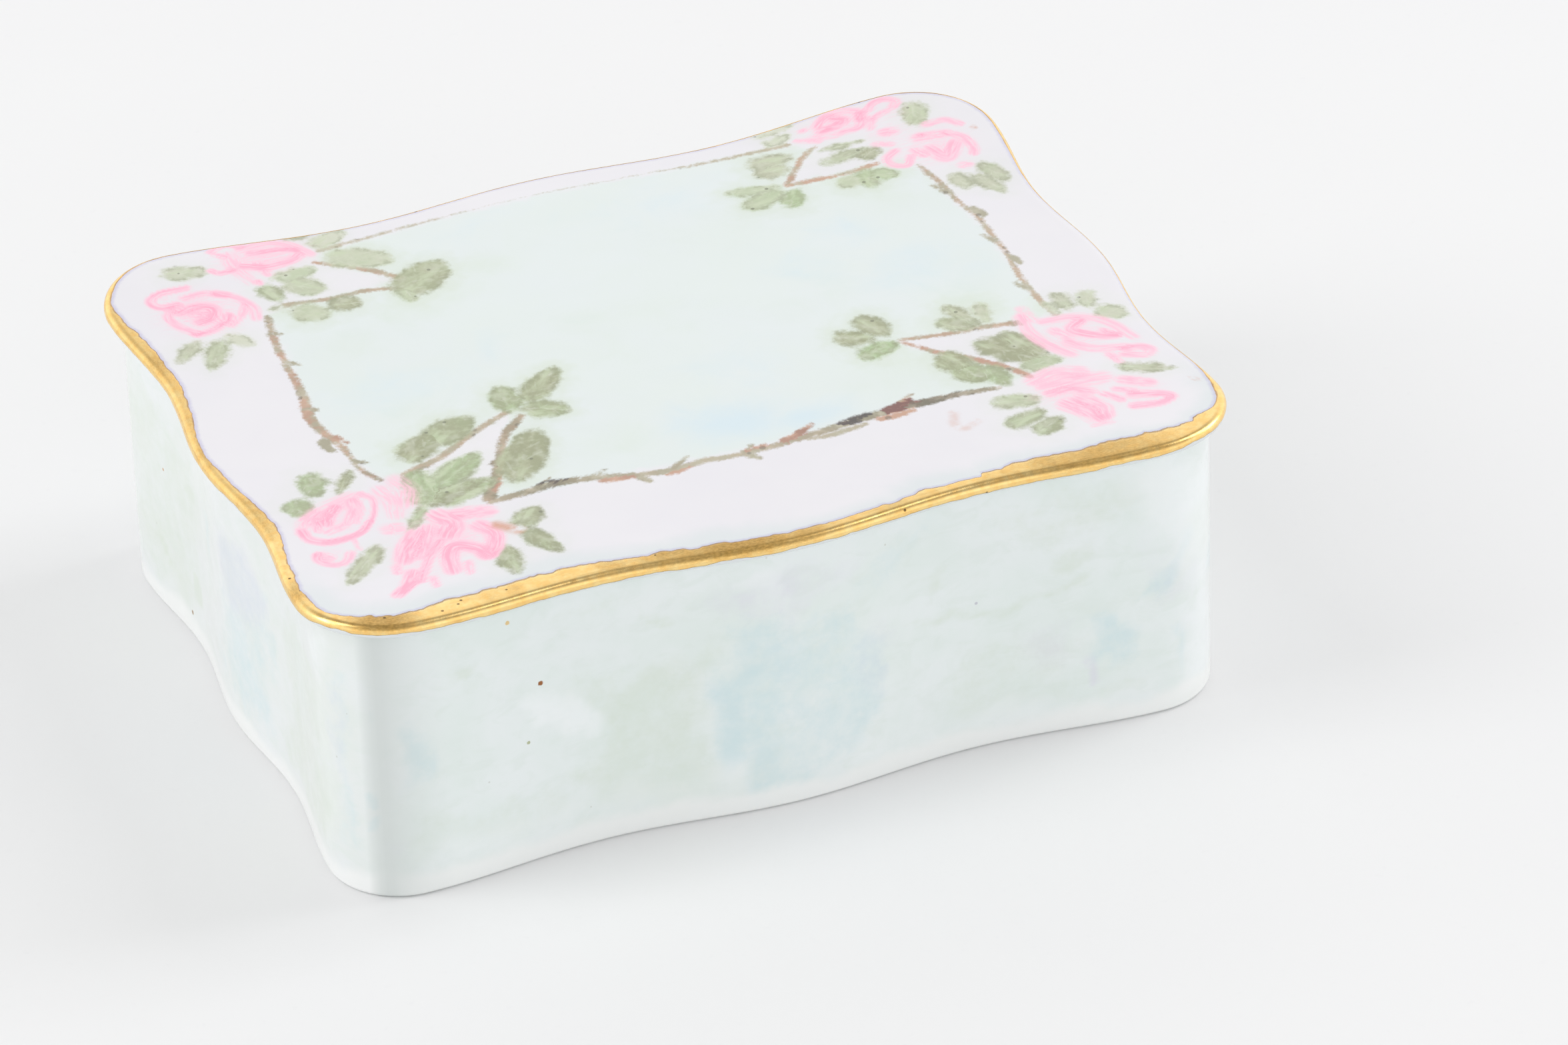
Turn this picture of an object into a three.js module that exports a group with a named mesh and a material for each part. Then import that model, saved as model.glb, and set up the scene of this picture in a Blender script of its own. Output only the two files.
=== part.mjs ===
// Porcelain trinket box: a low serpentine box and the loose lid that rests on it.
// Millimetres, +Z up. The origin is on the table, under the middle of the box.

import * as THREE from 'three';
import { mergeVertices } from 'three/addons/utils/BufferGeometryUtils.js';

// Outline of the lid, the widest part. Every side bows out in the middle and at its two
// corners, and dips in between them.
const HALF_LENGTH = 70;
const HALF_WIDTH = 55;
const CORNER_RADIUS = 13.5;
const LONG_SIDE_DIP = 2.3;
const SHORT_SIDE_DIP = 1.9;

// The box went slightly out of true in the kiln: its four corners stand this much higher.
const CORNER_LIFT = 1.6;

// Heights.
const TOTAL_HEIGHT = 47.5;
const LID_THICKNESS = 2.2;
const SEAT_GAP = 0.3;
const RIM_HEIGHT = TOTAL_HEIGHT - LID_THICKNESS - SEAT_GAP;

// Base. Insets are measured inwards from the lid's outline.
const WALL_INSET = 2.5;
const WALL_THICKNESS = 3.2;
const FLOOR_THICKNESS = 4.0;
const BOTTOM_ROUND = 0.9;
const RIM_ROUND = 0.8;
const FLOOR_FILLET = 3.5;
const FOOT_WIDTH = 4.0;
const FOOT_HEIGHT = 0.9;
const FOOT_SLOPE = 0.8;

// Lid. Its flange hangs inside the base's wall and keeps it in place.
const FLANGE_CLEARANCE = 0.7;
const FLANGE_THICKNESS = 2.4;
const FLANGE_DEPTH = 5.0;
const FLANGE_ROUND = 0.9;
const FLANGE_FILLET = 1.5;

// Steps along a quarter of the outline, and along a quarter turn of a rounded edge.
const SHORT_STEPS = 8;
const CORNER_STEPS = 6;
const LONG_STEPS = 10;
const ROUND_STEPS = 3;

// How far in the outline is, at a share of the way from mid-side (0) to the corner (1).
function sideDip(share, dip) {
  return dip * (1 - Math.cos(2 * Math.PI * share)) / 2;
}

// The first quarter of the outline, from the middle of the +X side to the middle of the +Y side.
function quarterOutline() {
  const arcX = HALF_LENGTH - CORNER_RADIUS;
  const arcY = HALF_WIDTH - CORNER_RADIUS;
  const points = [];
  for (let i = 0; i < SHORT_STEPS; i++) {
    const share = i / SHORT_STEPS;
    points.push(new THREE.Vector2(HALF_LENGTH - sideDip(share, SHORT_SIDE_DIP), share * arcY));
  }
  for (let i = 0; i < CORNER_STEPS; i++) {
    const turn = (Math.PI / 2) * (i / CORNER_STEPS);
    points.push(new THREE.Vector2(
      arcX + CORNER_RADIUS * Math.cos(turn),
      arcY + CORNER_RADIUS * Math.sin(turn),
    ));
  }
  for (let i = 0; i < LONG_STEPS; i++) {
    const share = 1 - i / LONG_STEPS;
    points.push(new THREE.Vector2(share * arcX, HALF_WIDTH - sideDip(share, LONG_SIDE_DIP)));
  }
  points.push(new THREE.Vector2(0, HALF_WIDTH));
  return points;
}

// The whole outline, counter-clockwise from +X, by mirroring the quarter across both axes.
function fullOutline() {
  const first = quarterOutline();
  const mirrored = [...first].reverse();
  const second = mirrored.slice(1).map((p) => new THREE.Vector2(-p.x, p.y));
  const third = first.slice(1).map((p) => new THREE.Vector2(-p.x, -p.y));
  const fourth = mirrored.slice(1, -1).map((p) => new THREE.Vector2(p.x, -p.y));
  return [...first, ...second, ...third, ...fourth];
}

const outline = fullOutline();

// The outward direction at each point of the outline.
const outward = outline.map((_, i) => {
  const before = outline[(i + outline.length - 1) % outline.length];
  const after = outline[(i + 1) % outline.length];
  return new THREE.Vector2(after.y - before.y, before.x - after.x).normalize();
});

// Moves a height up at the corners and down along the sides, in step with how high it is.
function warpedHeight(x, y, z) {
  const cornerShare = (x / HALF_LENGTH) ** 2 * (y / HALF_WIDTH) ** 2;
  const heightShare = Math.min(z / RIM_HEIGHT, 1);
  return z - CORNER_LIFT * heightShare * (1 - cornerShare);
}

// A profile is drawn in the plane of a lathe whose radius at the lid's outline is REACH.
const REACH = 100;

function inset(distance) {
  return REACH - distance;
}

// Turns a closed profile on a lathe, then wraps the turned ring round the serpentine outline.
function wrapRoundOutline(profile) {
  const points = profile.getPoints(ROUND_STEPS);
  const geometry = new THREE.LatheGeometry(points, outline.length);
  const position = geometry.attributes.position;
  for (let i = 0; i <= outline.length; i++) {
    const place = outline[i % outline.length];
    const normal = outward[i % outline.length];
    points.forEach((point, j) => {
      const onAxis = point.x === 0;
      const x = onAxis ? 0 : place.x - normal.x * inset(point.x);
      const y = onAxis ? 0 : place.y - normal.y * inset(point.x);
      position.setXYZ(i * points.length + j, x, y, warpedHeight(x, y, point.y));
    });
  }
  geometry.deleteAttribute('normal');
  geometry.deleteAttribute('uv');
  return withoutSlivers(mergeVertices(geometry));
}

// Drops the triangles that a lathe flattens to a line where the profile meets its axis.
function withoutSlivers(geometry) {
  const index = geometry.index.array;
  const kept = [];
  for (let i = 0; i < index.length; i += 3) {
    const [a, b, c] = index.slice(i, i + 3);
    if (a !== b && b !== c && c !== a) {
      kept.push(a, b, c);
    }
  }
  geometry.setIndex(kept);
  geometry.computeVertexNormals();
  return geometry;
}

// Base: a foot ring round a shallow recess, an upright wall and a rounded rim.
function baseProfile() {
  const innerWall = WALL_INSET + WALL_THICKNESS;
  const footInner = WALL_INSET + BOTTOM_ROUND + FOOT_WIDTH;
  const profile = new THREE.Path();
  profile.moveTo(0, FOOT_HEIGHT);
  profile.lineTo(inset(footInner + FOOT_SLOPE), FOOT_HEIGHT);
  profile.lineTo(inset(footInner), 0);
  profile.lineTo(inset(WALL_INSET + BOTTOM_ROUND), 0);
  profile.absarc(
    inset(WALL_INSET + BOTTOM_ROUND), BOTTOM_ROUND, BOTTOM_ROUND, -Math.PI / 2, 0, false);
  profile.lineTo(inset(WALL_INSET), RIM_HEIGHT / 2);
  profile.absarc(
    inset(WALL_INSET + RIM_ROUND), RIM_HEIGHT - RIM_ROUND, RIM_ROUND, 0, Math.PI / 2, false);
  profile.absarc(
    inset(innerWall - RIM_ROUND), RIM_HEIGHT - RIM_ROUND, RIM_ROUND, Math.PI / 2, Math.PI, false);
  profile.lineTo(inset(innerWall), FLOOR_THICKNESS + FLOOR_FILLET);
  profile.absarc(
    inset(innerWall + FLOOR_FILLET), FLOOR_THICKNESS + FLOOR_FILLET, FLOOR_FILLET,
    0, -Math.PI / 2, true);
  profile.lineTo(0, FLOOR_THICKNESS);
  return profile;
}

// Lid: a flat plate with a fully rounded rim, and the flange under it.
function lidProfile() {
  const rimRound = LID_THICKNESS / 2;
  const underside = TOTAL_HEIGHT - LID_THICKNESS;
  const flangeOuter = WALL_INSET + WALL_THICKNESS + FLANGE_CLEARANCE;
  const flangeInner = flangeOuter + FLANGE_THICKNESS;
  const flangeFoot = underside - FLANGE_DEPTH;
  const profile = new THREE.Path();
  profile.moveTo(0, underside);
  profile.lineTo(inset(flangeInner + FLANGE_FILLET), underside);
  profile.absarc(
    inset(flangeInner + FLANGE_FILLET), underside - FLANGE_FILLET, FLANGE_FILLET,
    Math.PI / 2, 0, true);
  profile.absarc(
    inset(flangeInner - FLANGE_ROUND), flangeFoot + FLANGE_ROUND, FLANGE_ROUND,
    Math.PI, 1.5 * Math.PI, false);
  profile.absarc(
    inset(flangeOuter + FLANGE_ROUND), flangeFoot + FLANGE_ROUND, FLANGE_ROUND,
    -Math.PI / 2, 0, false);
  profile.lineTo(inset(flangeOuter), underside);
  profile.absarc(
    inset(rimRound), TOTAL_HEIGHT - rimRound, rimRound, -Math.PI / 2, Math.PI / 2, false);
  profile.lineTo(0, TOTAL_HEIGHT);
  return profile;
}

// Glazed hard porcelain, washed in pale mint on the base and pale lilac on the lid.
const baseGlaze = new THREE.MeshStandardMaterial({ color: 0xe3ebe8, roughness: 0.12, metalness: 0 });
const lidGlaze = new THREE.MeshStandardMaterial({ color: 0xeceaf0, roughness: 0.12, metalness: 0 });

function makePiece(name, profile, glaze) {
  const piece = new THREE.Mesh(wrapRoundOutline(profile), glaze);
  piece.name = name;
  return piece;
}

const trinketBox = new THREE.Group();
trinketBox.add(makePiece('box_base', baseProfile(), baseGlaze));
trinketBox.add(makePiece('lid', lidProfile(), lidGlaze));

export default trinketBox;
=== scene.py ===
import math

import bpy
import numpy as np
from mathutils import Matrix, Vector


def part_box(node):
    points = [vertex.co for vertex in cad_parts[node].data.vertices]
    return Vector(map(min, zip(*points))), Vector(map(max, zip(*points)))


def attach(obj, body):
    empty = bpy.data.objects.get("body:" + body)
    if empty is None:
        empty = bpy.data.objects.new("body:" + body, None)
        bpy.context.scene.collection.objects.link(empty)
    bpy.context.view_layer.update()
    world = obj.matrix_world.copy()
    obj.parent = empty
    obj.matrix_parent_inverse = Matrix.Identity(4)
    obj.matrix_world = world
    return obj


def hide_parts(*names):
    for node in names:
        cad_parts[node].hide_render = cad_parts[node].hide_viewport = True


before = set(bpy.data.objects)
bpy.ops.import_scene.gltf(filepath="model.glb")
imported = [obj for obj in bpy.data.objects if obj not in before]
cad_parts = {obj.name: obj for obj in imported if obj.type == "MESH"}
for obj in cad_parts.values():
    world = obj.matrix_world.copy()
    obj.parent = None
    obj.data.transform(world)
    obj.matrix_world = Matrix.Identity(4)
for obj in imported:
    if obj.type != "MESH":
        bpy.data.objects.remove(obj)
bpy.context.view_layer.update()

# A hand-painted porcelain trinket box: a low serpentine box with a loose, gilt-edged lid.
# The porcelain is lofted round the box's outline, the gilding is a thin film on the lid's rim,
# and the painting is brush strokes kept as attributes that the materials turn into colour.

MM = 0.001
lid_low, lid_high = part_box("lid")

# ----------------------------------------
# Sizes, in millimetres
# ----------------------------------------

HALF_LENGTH = (lid_high[0] - lid_low[0]) / 2 / MM
HALF_WIDTH = (lid_high[1] - lid_low[1]) / 2 / MM
CORNER_RADIUS = 13.5
LONG_SIDE_DIP = 2.3
SHORT_SIDE_DIP = 1.9
CORNER_LIFT = 1.6

TOTAL_HEIGHT = 47.5
LID_THICKNESS = 2.2
SEAT_GAP = 0.3
RIM_HEIGHT = TOTAL_HEIGHT - LID_THICKNESS - SEAT_GAP

WALL_INSET = 2.5
WALL_THICKNESS = 3.2
FLOOR_THICKNESS = 4.0
BOTTOM_ROUND = 0.9
RIM_ROUND = 0.8
FLOOR_FILLET = 3.5
FOOT_WIDTH = 4.0
FOOT_HEIGHT = 0.9
FOOT_SLOPE = 0.8
FOOT_EDGE_ROUND = 0.3

FLANGE_CLEARANCE = 0.7
FLANGE_THICKNESS = 2.4
FLANGE_DEPTH = 5.0
FLANGE_ROUND = 0.9
FLANGE_FILLET = 1.5
SEAT_FILLET = 0.6

RIM_RADIUS = LID_THICKNESS / 2
GILT_THICKNESS = 0.05
GILT_ROOT = 0.03

# How finely each piece is lofted: stations round the outline.
BASE_STATIONS = 420
LID_STATIONS = 700
GILT_STATIONS = 1700
RIM_STEPS = 14

# Rings that close each piece towards its middle, as shares of its innermost ring.
BASE_UNDERSIDE = (0.25, 0.5, 0.75, 0.9)
BASE_FLOOR = (0.93, 0.8, 0.6, 0.4, 0.2)
LID_UNDERSIDE = (0.3, 0.6, 0.85)

# Which of its three materials a face of the porcelain has.
PAINTED, PLAIN, BARE = 0, 1, 2
FOOT_BARE_BELOW = 0.05
FLANGE_BARE_BELOW = 0.3

# ----------------------------------------
# The outline and the loft
# ----------------------------------------


def side_dip(share, dip):
    """How far in the outline is, at a share of the way from mid-side (0) to the corner (1)."""
    return dip * (1 - np.cos(2 * math.pi * share)) / 2


def quarter_outline():
    """The outline from the middle of the +X side to the middle of the +Y side, finely."""
    arc_x = HALF_LENGTH - CORNER_RADIUS
    arc_y = HALF_WIDTH - CORNER_RADIUS
    up = np.linspace(0, 1, 400, endpoint=False)
    turn = np.linspace(0, math.pi / 2, 200, endpoint=False)
    back = np.linspace(1, 0, 500)
    x = np.concatenate([
        HALF_LENGTH - side_dip(up, SHORT_SIDE_DIP),
        arc_x + CORNER_RADIUS * np.cos(turn),
        back * arc_x,
    ])
    y = np.concatenate([
        up * arc_y,
        arc_y + CORNER_RADIUS * np.sin(turn),
        HALF_WIDTH - side_dip(back, LONG_SIDE_DIP),
    ])
    return np.stack([x, y], axis=1)


def full_outline():
    """The closed outline, counter-clockwise from the middle of the +X side."""
    first = quarter_outline()
    mirrored = first[::-1]
    return np.concatenate([
        first,
        mirrored[1:] * (-1, 1),
        first[1:] * (-1, -1),
        mirrored[1:-1] * (1, -1),
    ])


FINE_OUTLINE = full_outline()
FINE_STEPS = np.linalg.norm(np.roll(FINE_OUTLINE, -1, axis=0) - FINE_OUTLINE, axis=1)
PERIMETER = FINE_STEPS.sum()


def stations(count):
    """Points of the outline at even steps, their outward normals, and how far round they are."""
    reached = np.concatenate([[0], np.cumsum(FINE_STEPS)])
    closed = np.concatenate([FINE_OUTLINE, FINE_OUTLINE[:1]])
    along = np.arange(count) / count * PERIMETER
    points = np.stack([np.interp(along, reached, closed[:, k]) for k in (0, 1)], axis=1)
    ahead = np.roll(points, -1, axis=0) - np.roll(points, 1, axis=0)
    ahead /= np.linalg.norm(ahead, axis=1)[:, None]
    normals = np.stack([ahead[:, 1], -ahead[:, 0]], axis=1)
    return points, normals, along


def warped(x, y, z):
    """Heights rise at the corners and sink along the sides, in step with how high they are."""
    corner_share = (x / HALF_LENGTH) ** 2 * (y / HALF_WIDTH) ** 2
    height_share = np.minimum(z / RIM_HEIGHT, 1)
    return z - CORNER_LIFT * height_share * (1 - corner_share)


def arc(inset, z, radius, start, end, steps):
    """A bend of a profile, as (inset, z) rows. At 0 degrees it points outwards, at 90 up."""
    turn = np.radians(np.linspace(start, end, steps + 1))
    return [(inset - radius * math.cos(a), z + radius * math.sin(a)) for a in turn]


def straight(start, end, steps):
    """The points between two rows of a profile, without its ends."""
    shares = np.arange(1, steps) / steps
    return [tuple(np.array(start) + share * (np.array(end) - start)) for share in shares]


def wrap(profile, count):
    """Turns (inset, z) rows into rings round the outline, not yet warped."""
    points, normals, _ = stations(count)
    rings = []
    for inset, z in profile:
        flat = points - normals * inset
        rings.append(np.column_stack([flat, np.full(count, z)]))
    return rings


def shrink(ring, shares):
    """Copies of a ring drawn in towards the middle, one for each share."""
    return [ring * (share, share, 1) for share in shares]


def stitched(count, pairs):
    """The faces between pairs of rings, each pair the places of its rings in the mesh."""
    station = np.arange(count)
    after = (station + 1) % count
    faces = []
    for low, high in pairs:
        here, above = low * count, high * count
        quads = np.stack([here + station, here + after, above + after, above + station], axis=1)
        faces.extend(quads.tolist())
    return faces


def loft(name, rings):
    """A closed mesh through rings, each end drawn to a point, all in warped millimetres."""
    count = len(rings[0])
    low = (0, 0, rings[0][0][2])
    high = (0, 0, rings[-1][0][2])
    flat = np.concatenate([*rings, [low, high]])
    flat[:, 2] = warped(flat[:, 0], flat[:, 1], flat[:, 2])
    faces = stitched(count, ((i, i + 1) for i in range(len(rings) - 1)))
    station = np.arange(count)
    after = (station + 1) % count
    bottom, top = len(flat) - 2, len(flat) - 1
    last = (len(rings) - 1) * count
    faces.extend((bottom, int(j), int(i)) for i, j in zip(station, after))
    faces.extend((top, last + int(i), last + int(j)) for i, j in zip(station, after))
    return make_mesh(name, flat, faces), flat


def make_mesh(name, points, faces):
    """A smooth-shaded object from points in millimetres."""
    mesh = bpy.data.meshes.new(name)
    mesh.from_pydata((np.asarray(points) * MM).tolist(), [], faces)
    mesh.polygons.foreach_set("use_smooth", [True] * len(mesh.polygons))
    mesh.update()
    piece = bpy.data.objects.new(name, mesh)
    bpy.context.scene.collection.objects.link(piece)
    return piece


def dress(piece, materials, zones):
    """Gives a piece its materials, and each face the number of its own."""
    for material in materials:
        piece.data.materials.append(material)
    piece.data.polygons.foreach_set("material_index", zones)


def store(piece, name, values):
    """Keeps one number for each point of a piece's mesh, for its material to read."""
    layer = piece.data.attributes.new(name, "FLOAT", "POINT")
    layer.data.foreach_set("value", np.asarray(values, dtype=np.float32))


# Each wave of a ragged line is three waves of nearly its length.
WAVE_SPREAD = (0.83, 1.0, 1.21)


def wobble(share, waves, seed):
    """A ragged line that closes on itself: sine waves with (waves round, height) rows."""
    source = np.random.RandomState(seed)
    total = np.zeros_like(share)
    for number, height in waves:
        for step in WAVE_SPREAD:
            around = round(number * step)
            total += height / 2 * np.sin(2 * math.pi * (around * share + source.rand()))
    return total


# ----------------------------------------
# Brush strokes: how far points are inside a stroke, in millimetres
# ----------------------------------------


# The depth given to points that are nowhere near a shape.
FAR = 99.0


def smooth_line(points, step=0.3):
    """A smooth line through given points (Catmull-Rom), with a share along it."""
    spine = np.array(points, dtype=float)
    if len(spine) == 2:
        length = np.linalg.norm(spine[1] - spine[0])
        share = np.linspace(0, 1, max(2, int(length / step)))
        return spine[0] + share[:, None] * (spine[1] - spine[0]), share
    padded = np.concatenate([[2 * spine[0] - spine[1]], spine, [2 * spine[-1] - spine[-2]]])
    placed = []
    for a, b, c, d in zip(padded, padded[1:], padded[2:], padded[3:]):
        count = max(2, int(np.linalg.norm(c - b) / step))
        t = (np.arange(count) / count)[:, None]
        placed.append(0.5 * (
            2 * b + (c - a) * t + (2 * a - 5 * b + 4 * c - d) * t ** 2
            + (3 * b - a - 3 * c + d) * t ** 3
        ))
    line = np.concatenate([*placed, spine[-1:]])
    return line, np.linspace(0, 1, len(line))


def near(plan, line, margin):
    """Which points lie in the box round a line, widened by a margin."""
    low = line.min(axis=0) - margin
    high = line.max(axis=0) + margin
    return np.flatnonzero(((plan > low) & (plan < high)).all(axis=1))


def depth_in_stroke(plan, points, widths, reach=2.0):
    """How deep each point is inside a stroke, how far along it, and how far to its left.

    widths runs from the stroke's start to its end."""
    line, share = smooth_line(points)
    widths = np.atleast_1d(widths)
    radius = np.interp(share, np.linspace(0, 1, len(widths)), widths) / 2
    ahead = np.gradient(line, axis=0)
    ahead /= np.linalg.norm(ahead, axis=1)[:, None] + 1e-9
    depth = np.full(len(plan), -FAR)
    along = np.zeros(len(plan))
    across = np.zeros(len(plan))
    chosen = near(plan, line, radius.max() + reach)
    if len(chosen):
        offset = plan[chosen, None, :] - line[None, :, :]
        inside = radius[None, :] - np.linalg.norm(offset, axis=2)
        best = inside.argmax(axis=1)
        row = np.arange(len(chosen))
        away = offset[row, best]
        depth[chosen] = inside[row, best]
        along[chosen] = share[best]
        across[chosen] = ahead[best, 0] * away[:, 1] - ahead[best, 1] * away[:, 0]
    return depth, along, across


def depth_in_polygon(plan, corners):
    """How deep each point is inside a closed outline of straight lines."""
    corners = np.array(corners, dtype=float)
    gap = np.full(len(plan), FAR)
    inside = np.zeros(len(plan), dtype=bool)
    for a, b in zip(corners, np.roll(corners, -1, axis=0)):
        side = b - a
        share = np.clip(((plan - a) @ side) / (side @ side), 0, 1)
        gap = np.minimum(gap, np.linalg.norm(plan - a - share[:, None] * side, axis=1))
        crosses = (plan[:, 1] > a[1]) != (plan[:, 1] > b[1])
        with np.errstate(divide="ignore", invalid="ignore"):
            meets = a[0] + (plan[:, 1] - a[1]) * side[0] / side[1]
        inside ^= crosses & (plan[:, 0] < meets)
    return np.where(inside, gap, -gap)


def soft_blobs(plan, blobs):
    """The strongest of soft round washes, with (x, y, reach along x, reach along y, strength)."""
    total = np.zeros(len(plan))
    for x, y, reach_x, reach_y, strength in blobs:
        spread = ((plan[:, 0] - x) / reach_x) ** 2 + ((plan[:, 1] - y) / reach_y) ** 2
        total = np.maximum(total, strength * np.exp(-spread))
    return total


# ----------------------------------------
# The painting on the lid. Places are millimetres from its middle: x right, y to the back.
# ----------------------------------------

# The mint ground, with a notch at each corner where two twigs cross.
PANEL = [
    (-36, -27.5), (-20, -28.5), (0, -30), (20, -29), (40, -29), (46, -28.5),
    (33, -11.5), (51, -14), (56.3, -14), (56.5, 0), (57, 12), (55, 30), (54.5, 36),
    (49, 37), (35, 37), (42, 45), (38, 47.7), (20, 48.7), (0, 50), (-20, 49), (-35, 47.6),
    (-37, 44.5), (-27.5, 35), (-45, 34.5), (-48.7, 33), (-50.5, 15), (-51.7, 2),
    (-50, -10), (-48.5, -16), (-44.5, -16), (-25, -6),
]

# Clouds of colour on the ground: x, y, reach along x, reach along y, strength.
BLUE_CLOUDS = [
    (3, -22, 9, 6, 1.0), (12, -25, 9, 5, 0.7), (-3, -20, 5, 8, 0.6), (-38, 7, 12, 7, 0.45),
    (-25, 12, 10, 7, 0.3), (44, 7, 11, 9, 0.5), (30, 15, 12, 8, 0.4), (35, 22, 10, 6, 0.35),
    (15, 40, 12, 7, 0.35), (-10, 45, 12, 5, 0.3), (10, -8, 10, 8, 0.35),
]
GREEN_CLOUDS = [
    (-28, 27, 9, 6, 0.6), (-15, -20, 9, 8, 0.4), (45, -3, 8, 8, 0.5), (30, -20, 9, 8, 0.5),
    (-5, 8, 16, 11, 0.3), (25, 5, 12, 9, 0.3), (-40, 20, 8, 6, 0.4), (20, 30, 14, 8, 0.3),
    (-36, -1, 9, 6, 0.4), (48, 28, 7, 6, 0.4),
    (-15, 34, 6, 4, 0.6), (-22, 28, 8, 4, 0.55),
]

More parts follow.
